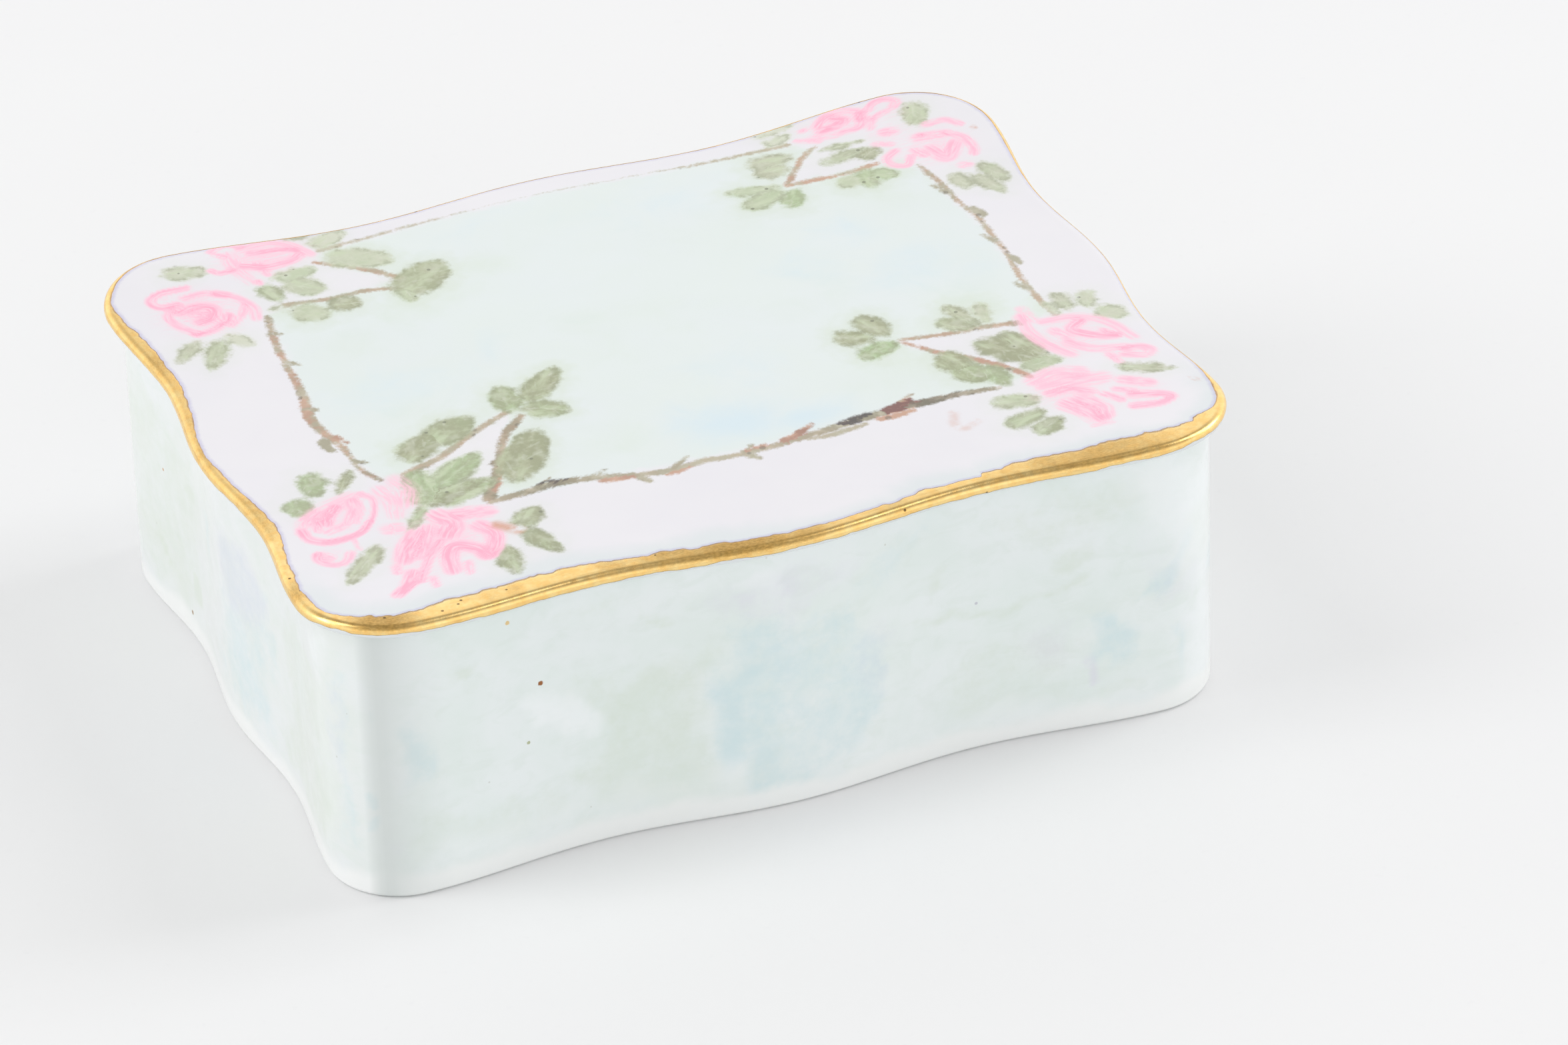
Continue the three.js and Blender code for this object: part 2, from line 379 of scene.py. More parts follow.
# Twigs: widths from start to end, how dark, how red, then the points.
TWIGS = [
    # the four long sides
    ((1.0, 1.4, 1.5, 1.2, 1.1, 1.3, 1.2, 1.0, 1.1, 1.1, 1.4, 1.6, 1.8, 1.6, 1.3, 0.8),
     (0.2, 0.72, 0.86, 0.5, 0.4, 0.3, 0.1, 0.15, 0.3, 0.4, 0.5, 0.7, 0.85, 0.87, 0.84, 0.68), 0.15,
     [(-36, -28), (-30, -27.5), (-26, -27), (-20, -28), (-15, -29.5), (-10, -30.5), (-5, -30),
      (0, -30.5), (5, -30.5), (10, -30), (15, -29.5), (20, -28.8), (25, -28.5), (30, -28.5),
      (35, -28.5), (41, -29.3)]),
    ((0.8, 0.7, 1.0, 1.5, 1.5, 1.0, 0.9, 0.9, 1.0),
     (0.8, 0.3, 0.2, 0.4, 0.2, 0.4, 0.2, 0.3, 0.5), 0.5,
     [(-48.3, -16), (-49.8, -12), (-50.3, -5), (-51.5, 0), (-51.8, 5), (-50.8, 10),
      (-50.3, 18), (-49.8, 25), (-48.5, 32.5)]),
    ((0.5, 0.8, 0.7, 0.8, 0.7, 0.7, 0.8, 0.8, 0.6), (0.2, 0.3, 0.1, 0.1, 0.1, 0.2), 0.35,
     [(54.5, 34), (55.5, 29), (56, 22), (57, 16), (56.8, 10), (56.8, 5), (56, -2), (56, -8),
      (56.3, -14)]),
    ((0.8, 0.5, 0.1, -0.2, -0.3, -0.2, 0.1, 0.4, 0.8), 0.1, 0.15,
     [(-35.5, 47.5), (-30, 48), (-20, 49), (-10, 49.8), (0, 50), (8, 49.5), (16, 49),
      (25, 48), (39, 47.5)]),
    # the crossing pairs at the corners
    ((1.2, 1.0, 0.9), 0.25, 0.3, [(-44.5, -16), (-38, -13.5), (-32, -9.5), (-25.5, -6)]),
    ((1.7, 1.4, 1.2, 1.0), (0.5, 0.75, 0.65, 0.45), 0.3,
     [(-36, -27), (-33, -22), (-31, -18), (-28, -12), (-24, -8)]),
    ((0.8, 0.9, 1.1), 0.3, 0.5, [(-37, 44.5), (-33, 41.5), (-30.5, 39.5), (-27, 35.5)]),
    ((0.9, 0.8, 0.8), 0.3, 0.3, [(-45, 34.8), (-38, 34), (-33, 34), (-28.5, 33)]),
    ((0.6, 0.8, 1.1, 1.2), (0.2, 0.3, 0.4), 0.4,
     [(33, -11), (38, -12), (42, -12.5), (46, -12.8), (51, -13.8)]),
    ((0.7, 0.9, 1.1, 1.1), 0.3, 0.75,
     [(33.5, -12), (36.5, -16), (40, -19.5), (43, -23), (45.5, -26.5), (46.3, -28.5)]),
    ((0.5, 0.7, 0.9), (0.0, 0.1, 0.4), 0.5, [(42.5, 45.3), (40, 43.5), (37.5, 40.5), (34.7, 36.8)]),
    ((0.9, 0.7, 0.9), 0.1, 0.6, [(34.7, 36.6), (40, 36.3), (45, 36.2), (49, 36.8)]),
    ((0.5, 0.7, 0.4), 0.2, 0.95, [(-33.6, -24.6), (-32.4, -22), (-31.8, -20.4)]),
    ((0.9, 0.6), 0.85, 0.2, [(-32.3, -18.4), (-31.5, -19.8)]),
    ((1.0, 0.6), 0.8, 0.2, [(-35.5, -25.3), (-34.9, -26.8)]),
    ((0.8, 0.5), 0.6, 0.1, [(-43.6, -16), (-41.4, -15.2)]),
    # thorns and buds on the long sides
    ((0.9, 0.4), 0.6, 0.1, [(-27.5, -27), (-26.3, -25.4)]),
    ((0.8, 0.6), 1.0, 0.1, [(-27.4, -26.1), (-26.9, -26.3)]),
    ((0.5, 0.9, 0.5), 1.0, 0.1, [(-26.2, -26.0), (-25.3, -26.8)]),
    ((0.8, 0.6), 1.0, 0.1, [(-24.2, -27.0), (-23.6, -27.3)]),
    ((0.8, 0.4), 0.5, 0.1, [(-21, -27.7), (-18, -26.5)]),
    ((0.9, 0.5), 0.4, 0.3, [(-9, -30), (-6.3, -28)]),
    ((1.4, 1.0), 0.5, 0.1, [(-14.5, -30), (-13.5, -32)]),
    ((1.6, 1.0), 0.4, 0.1, [(1.5, -30.5), (2.7, -32.5)]),
    ((0.8, 0.5), 0.4, 0.1, [(2, -30), (3.2, -29)]),
    ((1.2, 1.4, 0.8), 0.35, 0.9, [(-19.5, -29), (-17.3, -29.6), (-15.3, -29.7)]),
    ((0.7, 0.9, 0.6), 0.1, 0.9, [(-10.5, -31.2), (-8.5, -31), (-7, -30.5)]),
    ((0.7, 1.2, 0.8), 0.4, 0.8, [(1.6, -30.3), (3.0, -30.1), (4.8, -29.8)]),
    ((0.6, 0.9, 0.7), 0.15, 0.1, [(11.5, -30.8), (15, -31), (20, -30.3)]),
    ((1.5, 1.2, 0.7), (0.5, 0.65, 0.8), 0.95, [(8, -29.8), (10.8, -28.5), (12.9, -27.2)]),
    ((1.3, 1.7, 1.3), 1.0, 0.1, [(16.8, -29), (19, -28.7), (21.3, -28.3)]),
    ((2.0, 2.6, 1.8), 0.97, 1.0, [(24.3, -28.3), (26, -28.2), (27.8, -27)]),
    ((1.0, 1.2, 0.8), 0.1, 1.0, [(22.5, -30), (25, -30.1), (27.5, -29.8)]),
    ((0.9, 0.4), 0.6, 0.3, [(27, -27), (29, -25.6)]),
    ((0.8, 0.4), 0.4, 0.1, [(-49.5, 19.5), (-48.4, 18.3)]),
    ((0.9, 0.5), 0.5, 0.1, [(-50, -9.8), (-48.6, -10.7)]),
    ((1.2, 0.8), 0.5, 0.1, [(-51.5, 6.5), (-50.3, 5.7)]),
    ((0.8, 0.4), 0.4, 0.6, [(-50, -2.5), (-49.2, -4.4)]),
    ((0.8, 0.4), 0.4, 0.1, [(-49.6, 28), (-48.2, 27.5)]),
    ((1.8, 1.2), 0.45, 0.0, [(-52.2, -3), (-52, -5.5)]),
    ((0.9, 0.4), 0.3, 0.1, [(55.6, 24.5), (54.2, 27.5)]),
    ((1.5, 1.3), 0.35, 0.0, [(57.3, 18.8), (57.9, 17)]),
    ((0.8, 0.4), 0.3, 0.1, [(56.6, 9.3), (55.5, 11.6)]),
    ((1.2, 0.8), 0.3, 0.0, [(57.2, 3.5), (57.5, 1.8)]),
    ((0.9, 0.5), 0.3, 0.0, [(55.6, -5.5), (54.6, -3)]),
]

# A later twig covers an earlier one where it is deeper, or less deep by no more than the overlap.
# Its colours reach this far outside it.
TWIG_OVERLAP = 0.25
TWIG_REACH = 1.0

# Leaves: from (x, y) to (x, y), width, how green and how dark.
LEAVES = [
    # near-left corner, outside the twigs
    (-57.2, -10.3, -57.9, -16.2, 3.7, 0.7, 0.3), (-51.6, -12.2, -55, -17, 1.9, 0.1, 0.55),
    (-61.2, -16.2, -61.5, -21, 3.8, 0.7, 0.3), (-54.5, -33, -61.3, -40.5, 3.0, 0.1, 0.2),
    (-38.3, -40, -39.2, -47, 3.4, 0.2, 0.5), (-34.5, -35.5, -30.6, -32, 3.6, 0.2, 0.42),
    (-34, -37, -31.5, -44, 3.2, 0.3, 0.5),
    # near-left corner, inside
    (-43.2, -12.5, -37, -7.5, 5.0, 0.1, 0.5), (-38, -9.5, -31.2, -5.2, 5.4, 0.3, 0.4),
    (-41.5, -21, -33.3, -15, 4.4, 0.8, 0.3), (-43.3, -16, -44, -25, 4.2, 0.8, 0.3),
    (-44, -24, -49.3, -31, 1.8, 0.7, 0.1), (-44, -25, -34, -22.3, 4.6, 0.4, 0.72),
    (-31, -23.5, -23.5, -12.5, 6.0, 0.1, 0.5), (-25, -6, -24.2, 0.8, 4.2, 0.5, 0.4),
    (-22, -4.5, -15.2, 2.2, 4.2, 0.2, 0.5), (-23, -6, -17.3, -9, 4.2, 0.4, 0.4),
    (-46.3, -23.5, -41.5, -20.5, 3.2, 0.9, 0.2),
    # far-left corner
    (-28, 31.5, -19.7, 37.3, 6.4, 0.2, 0.35), (-35, 45.3, -26.3, 41, 5.0, 0.2, -0.05),
    (-27.5, 33, -27.3, 28.3, 2.6, 0.4, 0.0), (-44, 42, -37.5, 43, 3.0, 0.4, -0.15),
    (-43, 40.7, -38.3, 36.3, 4.2, 0.3, 0.0), (-46.5, 41, -45, 36.2, 2.8, 0.4, 0.25),
    (-44.5, 33, -40, 29.7, 4.4, 0.3, -0.05), (-38.8, 32.5, -34.5, 31.2, 3.6, 0.0, 0.45),
    (-59, 49.5, -52.8, 48, 3.4, 0.1, -0.05), (-60, 30.3, -64.3, 25.7, 2.4, 0.1, 0.05),
    (-56.7, 29.3, -60.5, 22.2, 3.0, 0.2, 0.15), (-55.5, 30, -53, 26.3, 2.6, 0.0, -0.15),
    (-39, 52.6, -34.5, 53, 1.8, 0.1, 0.2), (-36, 48.8, -30.5, 51.3, 3.4, 0.1, -0.15),
    (-47.5, 34.2, -45.3, 34.8, 0.8, 0.1, 0.0),
    # near-right corner, inside
    (24.7, -6.5, 29.8, -9, 3.6, 0.2, 0.5), (30, -2.9, 32, -9, 3.8, 0.1, 0.4),
    (26.2, -13.2, 32.5, -11.3, 3.4, 1.0, 0.5), (40.3, -8.2, 44, -12.3, 3.2, 0.1, 0.3),
    (42.8, -5, 45, -11.7, 2.4, 0.1, 0.2), (47.4, -6.2, 46.6, -11.8, 2.4, 0.1, 0.0),
    (36.8, -17.5, 39, -22.5, 4.4, 0.2, 0.47), (37.5, -21.5, 40.5, -26.3, 4.4, 0.4, 0.5),
    (42, -23.5, 42.4, -29.2, 3.0, 0.7, 0.3), (43.5, -16.3, 49, -24.5, 5.0, 0.1, 0.5),
    (47.5, -15.7, 50.5, -24, 3.8, 0.2, 0.6), (46.3, -25.7, 52.3, -25.3, 3.4, 0.5, 0.0),
    # near-right corner, outside the twigs
    (38.8, -32.7, 45.2, -34.8, 3.4, 0.2, 0.1), (38.3, -39.8, 44.3, -37.7, 3.2, 0.3, 0.3),
    (41.2, -43.2, 45.8, -40.8, 3.4, 0.3, 0.4), (58.8, -31.2, 65.8, -35.2, 2.4, 0.1, 0.2),
    (62.5, -15.2, 65.8, -18.3, 3.6, 0.2, -0.05), (63, -9.2, 61.7, -13.7, 2.6, 0.1, 0.0),
    (58.6, -8.5, 59, -13.3, 2.4, 0.1, 0.05), (56.5, -10, 57, -14, 1.4, 0.1, -0.25),
    # far-right corner
    (31.3, 44.3, 38, 44.2, 3.2, 0.0, 0.15), (31.5, 41.2, 36.8, 41.6, 3.4, 0.0, 0.15),
    (25.5, 38, 33.3, 36.8, 2.4, 0.4, -0.1), (26.7, 32.8, 33.3, 35.8, 3.4, 0.5, -0.05),
    (32.7, 30.6, 35.5, 35, 3.4, 0.7, 0.15), (43, 43.8, 50, 43.7, 1.4, 0.1, 0.15),
    (41.7, 40.2, 49, 41.6, 2.4, 0.2, 0.15), (47.5, 39, 50.8, 41, 2.8, 0.1, 0.35),
    (41.6, 34, 45.8, 33.6, 3.2, 0.3, -0.1), (46.3, 36, 46.2, 31, 3.2, 0.6, 0.15),
    (47, 34.2, 50.8, 33, 3.0, 0.6, -0.1), (35, 51.6, 41.7, 52.6, 2.0, 0.1, -0.2),
    (36, 48.5, 40, 50, 2.2, 0.1, -0.25), (60.3, 50.5, 58.8, 44.3, 3.8, 0.3, 0.05),
    (58, 29.3, 59, 24.7, 2.8, 0.1, 0.05), (63.3, 30.2, 65, 24.5, 3.0, 0.1, 0.05),
    (61, 28, 63.5, 21.3, 2.6, 0.1, 0.05),
]

# Leaves are painted this much larger than their lines say, and neighbours run together.
LEAF_GROWTH = 1.1
LEAF_MERGE = 0.3
LEAF_TAPER = 0.18
LEAF_ROUNDNESS = 2.3

# Rose strokes: width or widths along it, strength of the pink, then the points.
ROSES = [
    # near-left rose, the paler one
    ((1.6, 2.0, 2.0, 1.6, 1.1, 0.9, 1.0, 1.3), 0.8,
     [(-63, -24.5), (-62.6, -27.3), (-60, -29), (-56, -28.5), (-53.8, -26.6), (-52, -24),
      (-51, -20.5), (-52, -18.3)]),
    (3.8, 0.42, [(-60.5, -22.3), (-57.5, -20.2), (-53.6, -18.8)]),
    ((0.9, 1.0, 0.7), 0.5, [(-53.2, -19.2), (-53.2, -22), (-55, -25.6)]),
    (1.2, 0.85, [(-61, -28.8), (-58, -28.9), (-55.2, -28), (-53.4, -26)]),
    (2.4, 0.35, [(-59.5, -20.6), (-62, -22.5), (-63, -25)]),
    (2.0, 0.9, [(-56.6, -20.4), (-58, -22), (-59, -24)]),
    (1.4, 0.65, [(-60, -22.5), (-60.8, -25.3)]),
    (1.6, 0.6, [(-54, -19.5), (-54.5, -22), (-56, -24.8)]),
    (1.8, 0.45, [(-57, -25.5), (-59.5, -26.3)]),
    (3.4, 0.32, [(-46.2, -16.8), (-45.6, -20), (-46.8, -23)]),
    (2.6, 0.32, [(-49.3, -18.4), (-48.7, -22), (-49.5, -26)]),
    (3.2, 0.5, [(-51.5, -29), (-50.6, -29.2)]),
    (1.6, 0.7, [(-63, -31.4), (-63.4, -33), (-62, -35), (-60, -35), (-58.6, -33)]),
    (2.2, 0.5, [(-62.7, -31.8), (-61.8, -33)]),
    (1.0, 0.5, [(-57, -30), (-57, -32.5)]),
    # near-left rose, the strongest one
    (3.6, 0.75, [(-44, -28.3), (-43, -31), (-44.3, -33.3)]),
    (3.4, 0.7, [(-41, -29), (-37.3, -30)]),
    (3.2, 0.82, [(-48.6, -32), (-51, -35), (-52.3, -37.4)]),
    (2.4, 0.6, [(-46.5, -31), (-48, -34), (-50, -37.5)]),
    (1.4, 0.8, [(-46, -35), (-48.5, -38), (-51, -42), (-52, -44)]),
    (2.6, 0.95, [(-47, -43), (-46.4, -39.6), (-44.6, -37), (-42.2, -38.6), (-41, -41)]),
    (2.8, 0.9, [(-39.5, -33.2), (-38.4, -36), (-39.6, -39.3), (-41.3, -41)]),
    (1.6, 0.6, [(-44.4, -42), (-45, -44.5)]),
    (1.4, 0.6, [(-50.3, -44), (-50.5, -46)]),
    (1.6, 0.6, [(-54, -39), (-54.3, -40.5)]),
    (2.2, 0.85, [(-52.5, -41.5), (-54, -44), (-56.3, -46.3)]),
    (1.6, 0.8, [(-53, -44), (-55.8, -45.8)]),
    # far-left rose beside the left edge
    (1.8, 0.9, [(-60, 38.7), (-57, 39.3), (-55, 38), (-56, 35.5), (-58, 35)]),
    (1.6, 0.6, [(-60.6, 40.4), (-62, 37.5), (-61, 34.5), (-59.5, 32.4)]),
    (1.4, 0.9, [(-59.6, 32), (-57, 32.3), (-54.5, 34), (-53.5, 35.4)]),
    (1.4, 0.6, [(-54, 32.6), (-51.6, 34.8), (-50.5, 37)]),
    (1.8, 0.6, [(-53.4, 41.6), (-51, 39.5), (-49.5, 36), (-50, 33)]),
    (1.6, 0.85, [(-57, 44.8), (-61, 44.7), (-63, 43), (-62.2, 41), (-59.5, 40.8)]),
    (1.6, 0.55, [(-58, 42.2), (-55, 42.4), (-52, 41)]),
    (2.2, 0.5, [(-58, 37.4), (-56.6, 36.6)]),
    # far-left rose beside the back edge
    (1.5, 0.75, [(-45, 50.5), (-41, 50), (-38.5, 49)]),
    (2.0, 0.65, [(-47, 47.5), (-44, 46), (-40, 46.5), (-38.5, 47.5)]),
    (2.0, 0.5, [(-46, 52.2), (-42, 52.4), (-39, 50.6), (-37, 47)]),
    (1.3, 0.8, [(-52, 48), (-51, 46.8), (-49, 47)]),
    (1.4, 0.65, [(-50.5, 53), (-48, 54), (-46, 53)]),
    (1.4, 0.5, [(-50, 52), (-49, 51)]),
    (2.6, 0.32, [(-48.4, 51), (-48.5, 47), (-47.6, 43)]),
    (1.6, 0.5, [(-45, 47), (-44.5, 44)]),
    (1.4, 0.7, [(-46.5, 42.5), (-46.5, 42)]),
    # near-right rose beside the right edge
    (2.6, 0.4, [(52.5, -10.5), (52.6, -13.5)]),
    (2.4, 0.55, [(51.3, -12.5), (51, -17), (52, -21), (54, -25)]),
    (2.0, 0.55, [(54, -15), (58, -15.3), (61, -17), (63, -20), (64.2, -24.4)]),
    (1.8, 0.9, [(59, -17), (57, -18.5), (58, -20.5), (60.3, -22.4), (62, -23)]),
    (1.4, 0.8, [(61, -21), (62.3, -23)]),
    (2.0, 0.55, [(55, -22), (57.5, -25), (60, -26), (62, -26.5)]),
    (1.7, 0.7, [(61.5, -27), (64, -27.5), (65, -29), (63.5, -30), (61, -28.5)]),
    (1.5, 0.6, [(59, -27.5), (59.5, -30)]),
    (2.0, 0.45, [(54.4, -18), (55.6, -20.5)]),
    # near-right rose beside the front edge
    (3.4, 0.5, [(46.5, -29.5), (50, -28.7), (53, -30)]),
    (3.6, 0.45, [(47.5, -32), (51.5, -32), (55.5, -33)]),
    (2.0, 0.6, [(47, -34), (50, -34), (52.5, -36)]),
    (3.6, 0.72, [(48.3, -38), (49.6, -40.5), (50.3, -43)]),
    (3.0, 0.66, [(50.5, -37.5), (52.2, -40.5), (51.8, -43)]),
    (1.2, 0.4, [(49, -45), (52, -45.3)]),
    (1.6, 0.65, [(54, -37.5), (55.5, -40)]),
    (2.4, 0.6, [(58, -35), (61, -37.4)]),
    (1.4, 0.6, [(56, -37), (58, -38.5)]),
    (1.9, 0.85, [(57.5, -39.5), (61, -41), (62.3, -42.5), (60, -43.4), (56.5, -42.5)]),
    # far-right rose beside the back edge
    (1.7, 0.7, [(45, 50.5), (47, 52.5), (50, 53), (52, 52)]),
    (1.8, 0.95, [(48, 51.5), (49.3, 50.5), (48, 49.5), (45, 49)]),
    (1.3, 0.55, [(40.6, 48), (43.5, 46.3)]),
    (1.2, 0.7, [(42.3, 50.3), (42.7, 50.3)]),
    (1.6, 0.7, [(48, 47.3), (50.5, 47.5), (52, 49.5), (52.3, 51)]),
    (1.5, 1.0, [(51.5, 49.8), (51.9, 51)]),
    (1.5, 0.8, [(53.5, 51.5), (55, 53), (57, 53.3), (58.3, 52), (57.5, 50.7)]),
    (1.4, 0.5, [(53, 49), (56, 50)]),
    (1.4, 0.5, [(52, 46.5), (53.5, 49)]),
    (2.4, 0.6, [(53.6, 44.5), (54.4, 44.4)]),
    (2.0, 0.4, [(43, 47.5), (46.5, 47)]),
    # far-right rose beside the right edge
    (2.8, 0.62, [(58, 37), (59.3, 34.2), (61.7, 37)]),
    (1.7, 0.6, [(60, 44), (63, 44), (64.7, 42)]),
    (1.7, 0.65, [(62, 40.5), (63.8, 38), (64, 35), (63.5, 33.5)]),
    (1.4, 0.6, [(55.6, 38), (56.4, 36)]),
    (1.5, 0.7, [(53, 39), (51, 37.5), (51, 35.5), (53, 34.5), (54.5, 36.5)]),
    (1.6, 0.5, [(51, 42), (53, 41)]),
    (1.4, 0.7, [(58, 41.5), (58.3, 41.5)]),
    (2.2, 0.5, [(60.7, 31), (61.3, 30.8)]),
    (2.4, 0.4, [(57.5, 41), (61, 40.6)]),
]

# Strokes are laid this much narrower than their rows say.
ROSE_NARROWING = 0.95
MOST_PINK = 1.3

# The pink at a stroke's edge, how softly it ends as a share of its width, and how much of what
# is laid over other pink is lost. Each stroke's bristle marks start further along the pattern.
ROSE_EDGE = 0.45
ROSE_SOFTNESS = 0.36
ROSE_LOSS = 0.5
FAINTEST_STROKE = 0.02
BRISTLE_SHIFT = 3.0

# The thin pink wash under each rose, and how much stronger it is laid than its rows say.
WASH_STRENGTH = 1.15
ROSE_WASHES = [
    (-57, -23.5, 6.5, 5.5, 0.3), (-48, -22, 4.0, 6.0, 0.28), (-61, -32, 3.5, 3.0, 0.2),
    (-45, -34.5, 7.5, 6.5, 0.42), (-51, -40, 4.5, 5.5, 0.25), (-57, 37.5, 6.5, 6.5, 0.43),
    (-44, 48.5, 7.0, 4.5, 0.48), (-60, 43, 4.0, 2.5, 0.25), (57, -20.5, 6.5, 6.5, 0.32),
    (50, -34, 6.0, 6.0, 0.36), (58, -38.5, 5.5, 5.0, 0.28), (62, -28, 4.5, 3.0, 0.25),
    (48, 50, 6.5, 3.5, 0.36), (55.5, 50, 4.5, 3.5, 0.24), (59, 38, 6.5, 6.5, 0.32),
    (52.5, 37.5, 3.0, 3.5, 0.2), (54, 44, 4.5, 4.0, 0.25),
]

# Rust-coloured touches: width, strength, then the points.
RUST_TOUCHES = [
    (0.9, 0.9, [(67.1, -39.4), (67.3, -39.4)]),
    (0.8, 0.8, [(66.1, 40.2), (66.3, 40.2)]),
    (1.4, 0.35, [(32.5, -33), (31.5, -36), (32.5, -37.5), (34.5, -36.5)]),
    (1.8, 0.9, [(-37.4, -34), (-35, -36.6)]),
]

# ----------------------------------------
# The gilding's edges. Distances run along the rim's surface, up and in from its widest line.
# ----------------------------------------

# Widths of gold on the flat of the lid, from the front edge's left end to its right end.
GILT_FRONT = [
    (-60, 3.6), (-50, 4.3), (-40, 4.5), (-33, 4.2), (-25, 3.1), (-10, 3.0), (0, 2.5),
    (10, 2.3), (20, 2.7), (29.4, 2.1), (29.8, 3.2), (40, 4.2), (50, 4.7), (60, 4.4),
]
# The same along the left edge, from its near end to its far end.
GILT_LEFT = [
    (-44, 1.7), (-30, 1.9), (-18, 2.1), (-5, 1.4), (3, 1.2), (20, 2.1), (36, 2.2), (44, 1.2),
]
# The same along the right edge, and along the back.
GILT_RIGHT = [(-42, 1.3), (-34, 0.5), (-12, 0.35), (5, 0.3), (22, 0.5), (35, 0.7), (44, 0.8)]
GILT_BACK = [(-58, 0.8), (-40, 0.8), (0, 0.7), (40, 0.8), (58, 0.8)]

GILT_LOWER_EDGE = 0.3

# Gold this wide has fully ragged edges, and narrower gold has less, down to this share.
FULLY_RAGGED_WIDTH = 3.6
LEAST_RAGGED = 0.12

# The waves of its edges, as (waves round, height) rows. The skips are short, flat-topped steps.
INNER_WAVES = [(23, 0.22), (60, 0.2), (140, 0.14), (330, 0.06)]
INNER_SKIPS = [(31, 3.0), (53, 3.0)]
SKIP_HEIGHT = 0.25
LOWER_WAVES = [(9, 0.2), (40, 0.14), (120, 0.07), (300, 0.03)]

# Where the gold is browner and matt: distance round from the near-left corner, reach, strength.
GILT_MATT = [
    (5, 6, 0.8), (58, 14, 0.95), (115, 12, 0.75), (-12, 4, 0.5), (-34, 7, 0.55), (-65, 50, 0.3)]


def rim_length(inset):
    """The distance along the rim's surface from its widest line to where it is this far in."""
    inset = np.maximum(inset, 0.0)
    on_round = np.arccos(np.clip(1 - inset / RIM_RADIUS, -1, 1)) * RIM_RADIUS
    return np.where(inset < RIM_RADIUS, on_round, RIM_RADIUS * (math.pi / 2 - 1) + inset)


def rim_point(length):
    """The (inset, z, outward share, upward share) of the rim's surface at a distance along it."""
    turn = np.clip(length / RIM_RADIUS, -math.pi / 2, math.pi / 2)
    beyond = np.maximum(length - RIM_RADIUS * math.pi / 2, 0)
    out, up = np.cos(turn), np.sin(turn)
    inset = RIM_RADIUS * (1 - out) + beyond
    return inset, TOTAL_HEIGHT - RIM_RADIUS * (1 - up), out, up


def gilt_inner_edge(points, normals, share):
    """How far along the rim's surface the gold reaches at each station."""
    sides = (
        (-normals[:, 1], points[:, 0], GILT_FRONT),
        (-normals[:, 0], points[:, 1], GILT_LEFT),
        (normals[:, 0], points[:, 1], GILT_RIGHT),
        (normals[:, 1], points[:, 0], GILT_BACK),
    )
    total = np.zeros(len(points))
    weight = np.zeros(len(points))
    for facing, along, rows in sides:
        places, insets = zip(*rows)
        facing = np.clip(facing, 0, 1) ** 4
        total += facing * rim_length(np.interp(along, places, insets))
        weight += facing
    ragged = wobble(share, INNER_WAVES, seed=4)
    ragged += SKIP_HEIGHT * np.clip(wobble(share, INNER_SKIPS, seed=6), -0.5, 0.5)
    narrow = np.clip((total / weight / FULLY_RAGGED_WIDTH) ** 2, LEAST_RAGGED, 1)
    return total / weight + ragged * narrow


def gilt_lower_edge(share):
    """How far down the rim's surface the gold reaches at each station, as a negative distance."""
    return -GILT_LOWER_EDGE + wobble(share, LOWER_WAVES, seed=9)


# ----------------------------------------
# The base
# ----------------------------------------

# Brushed patches on the walls: strength, how softly they end, and their corners, each as distance
# round from the near-left corner and height. The left wall's distances are negative.
WALL_BLUE = [
    (0.55, 2.5, [(54, 31), (58, 34), (66, 33), (74, 31), (79, 26), (81, 20), (78, 12), (73, 6),
                 (64, 3), (60, 1), (57, 3), (56, 9), (52, 14), (53, 22)]),
    (0.8, 2.6, [(52, 14), (54, 22), (56, 28), (62, 28), (60, 22), (58, 14), (57, 8), (54, 8)]),
    (0.35, 3.0, [(66, 30), (80, 33), (90, 43), (86, 43), (76, 36)]),
    (0.6, 2.0, [(110, 18), (113, 20), (117, 17), (117, 11), (112, 11)]),
    (0.6, 1.6, [(118, 20), (124, 31), (127, 30), (122, 19)]),
    (0.5, 1.5, [(124, 14), (127, 13), (126, 6), (124, 7)]),
    (0.6, 2.2, [(4.5, 27), (9, 29), (11, 20), (6, 18)]),
    (1.0, 0.9, [(0.4, 19), (2.0, 19), (2.2, 15), (0.6, 15)]),
    (1.0, 0.9, [(0.8, 14), (2.6, 14), (3.0, 10.5), (1.0, 10.5)]),
    (0.5, 1.2, [(1.6, 32), (3.4, 32), (3.2, 24), (1.8, 24)]),
    (0.55, 3.5, [(-53, 16), (-48, 19), (-40, 18), (-36, 12), (-38, 6), (-45, 4), (-51, 8)]),
    (0.5, 3.0, [(-54, 34), (-46, 35), (-34, 33), (-35, 24), (-44, 20), (-53, 23)]),
    (0.5, 2.0, [(-38, 25), (-32, 26), (-31, 19), (-36, 18)]),
    (0.5, 2.0, [(-64, 32), (-60, 31), (-59, 24), (-63, 22)]),
    (0.4, 2.5, [(-57, 14), (-52, 10), (-56, 6), (-61, 9)]),
    (0.4, 2.0, [(-5, 38), (-1.5, 38), (-1, 5), (-4.6, 6)]),
    (0.5, 5.0, [(-54, 34), (-34, 33), (-36, 6), (-52, 8)]),
]
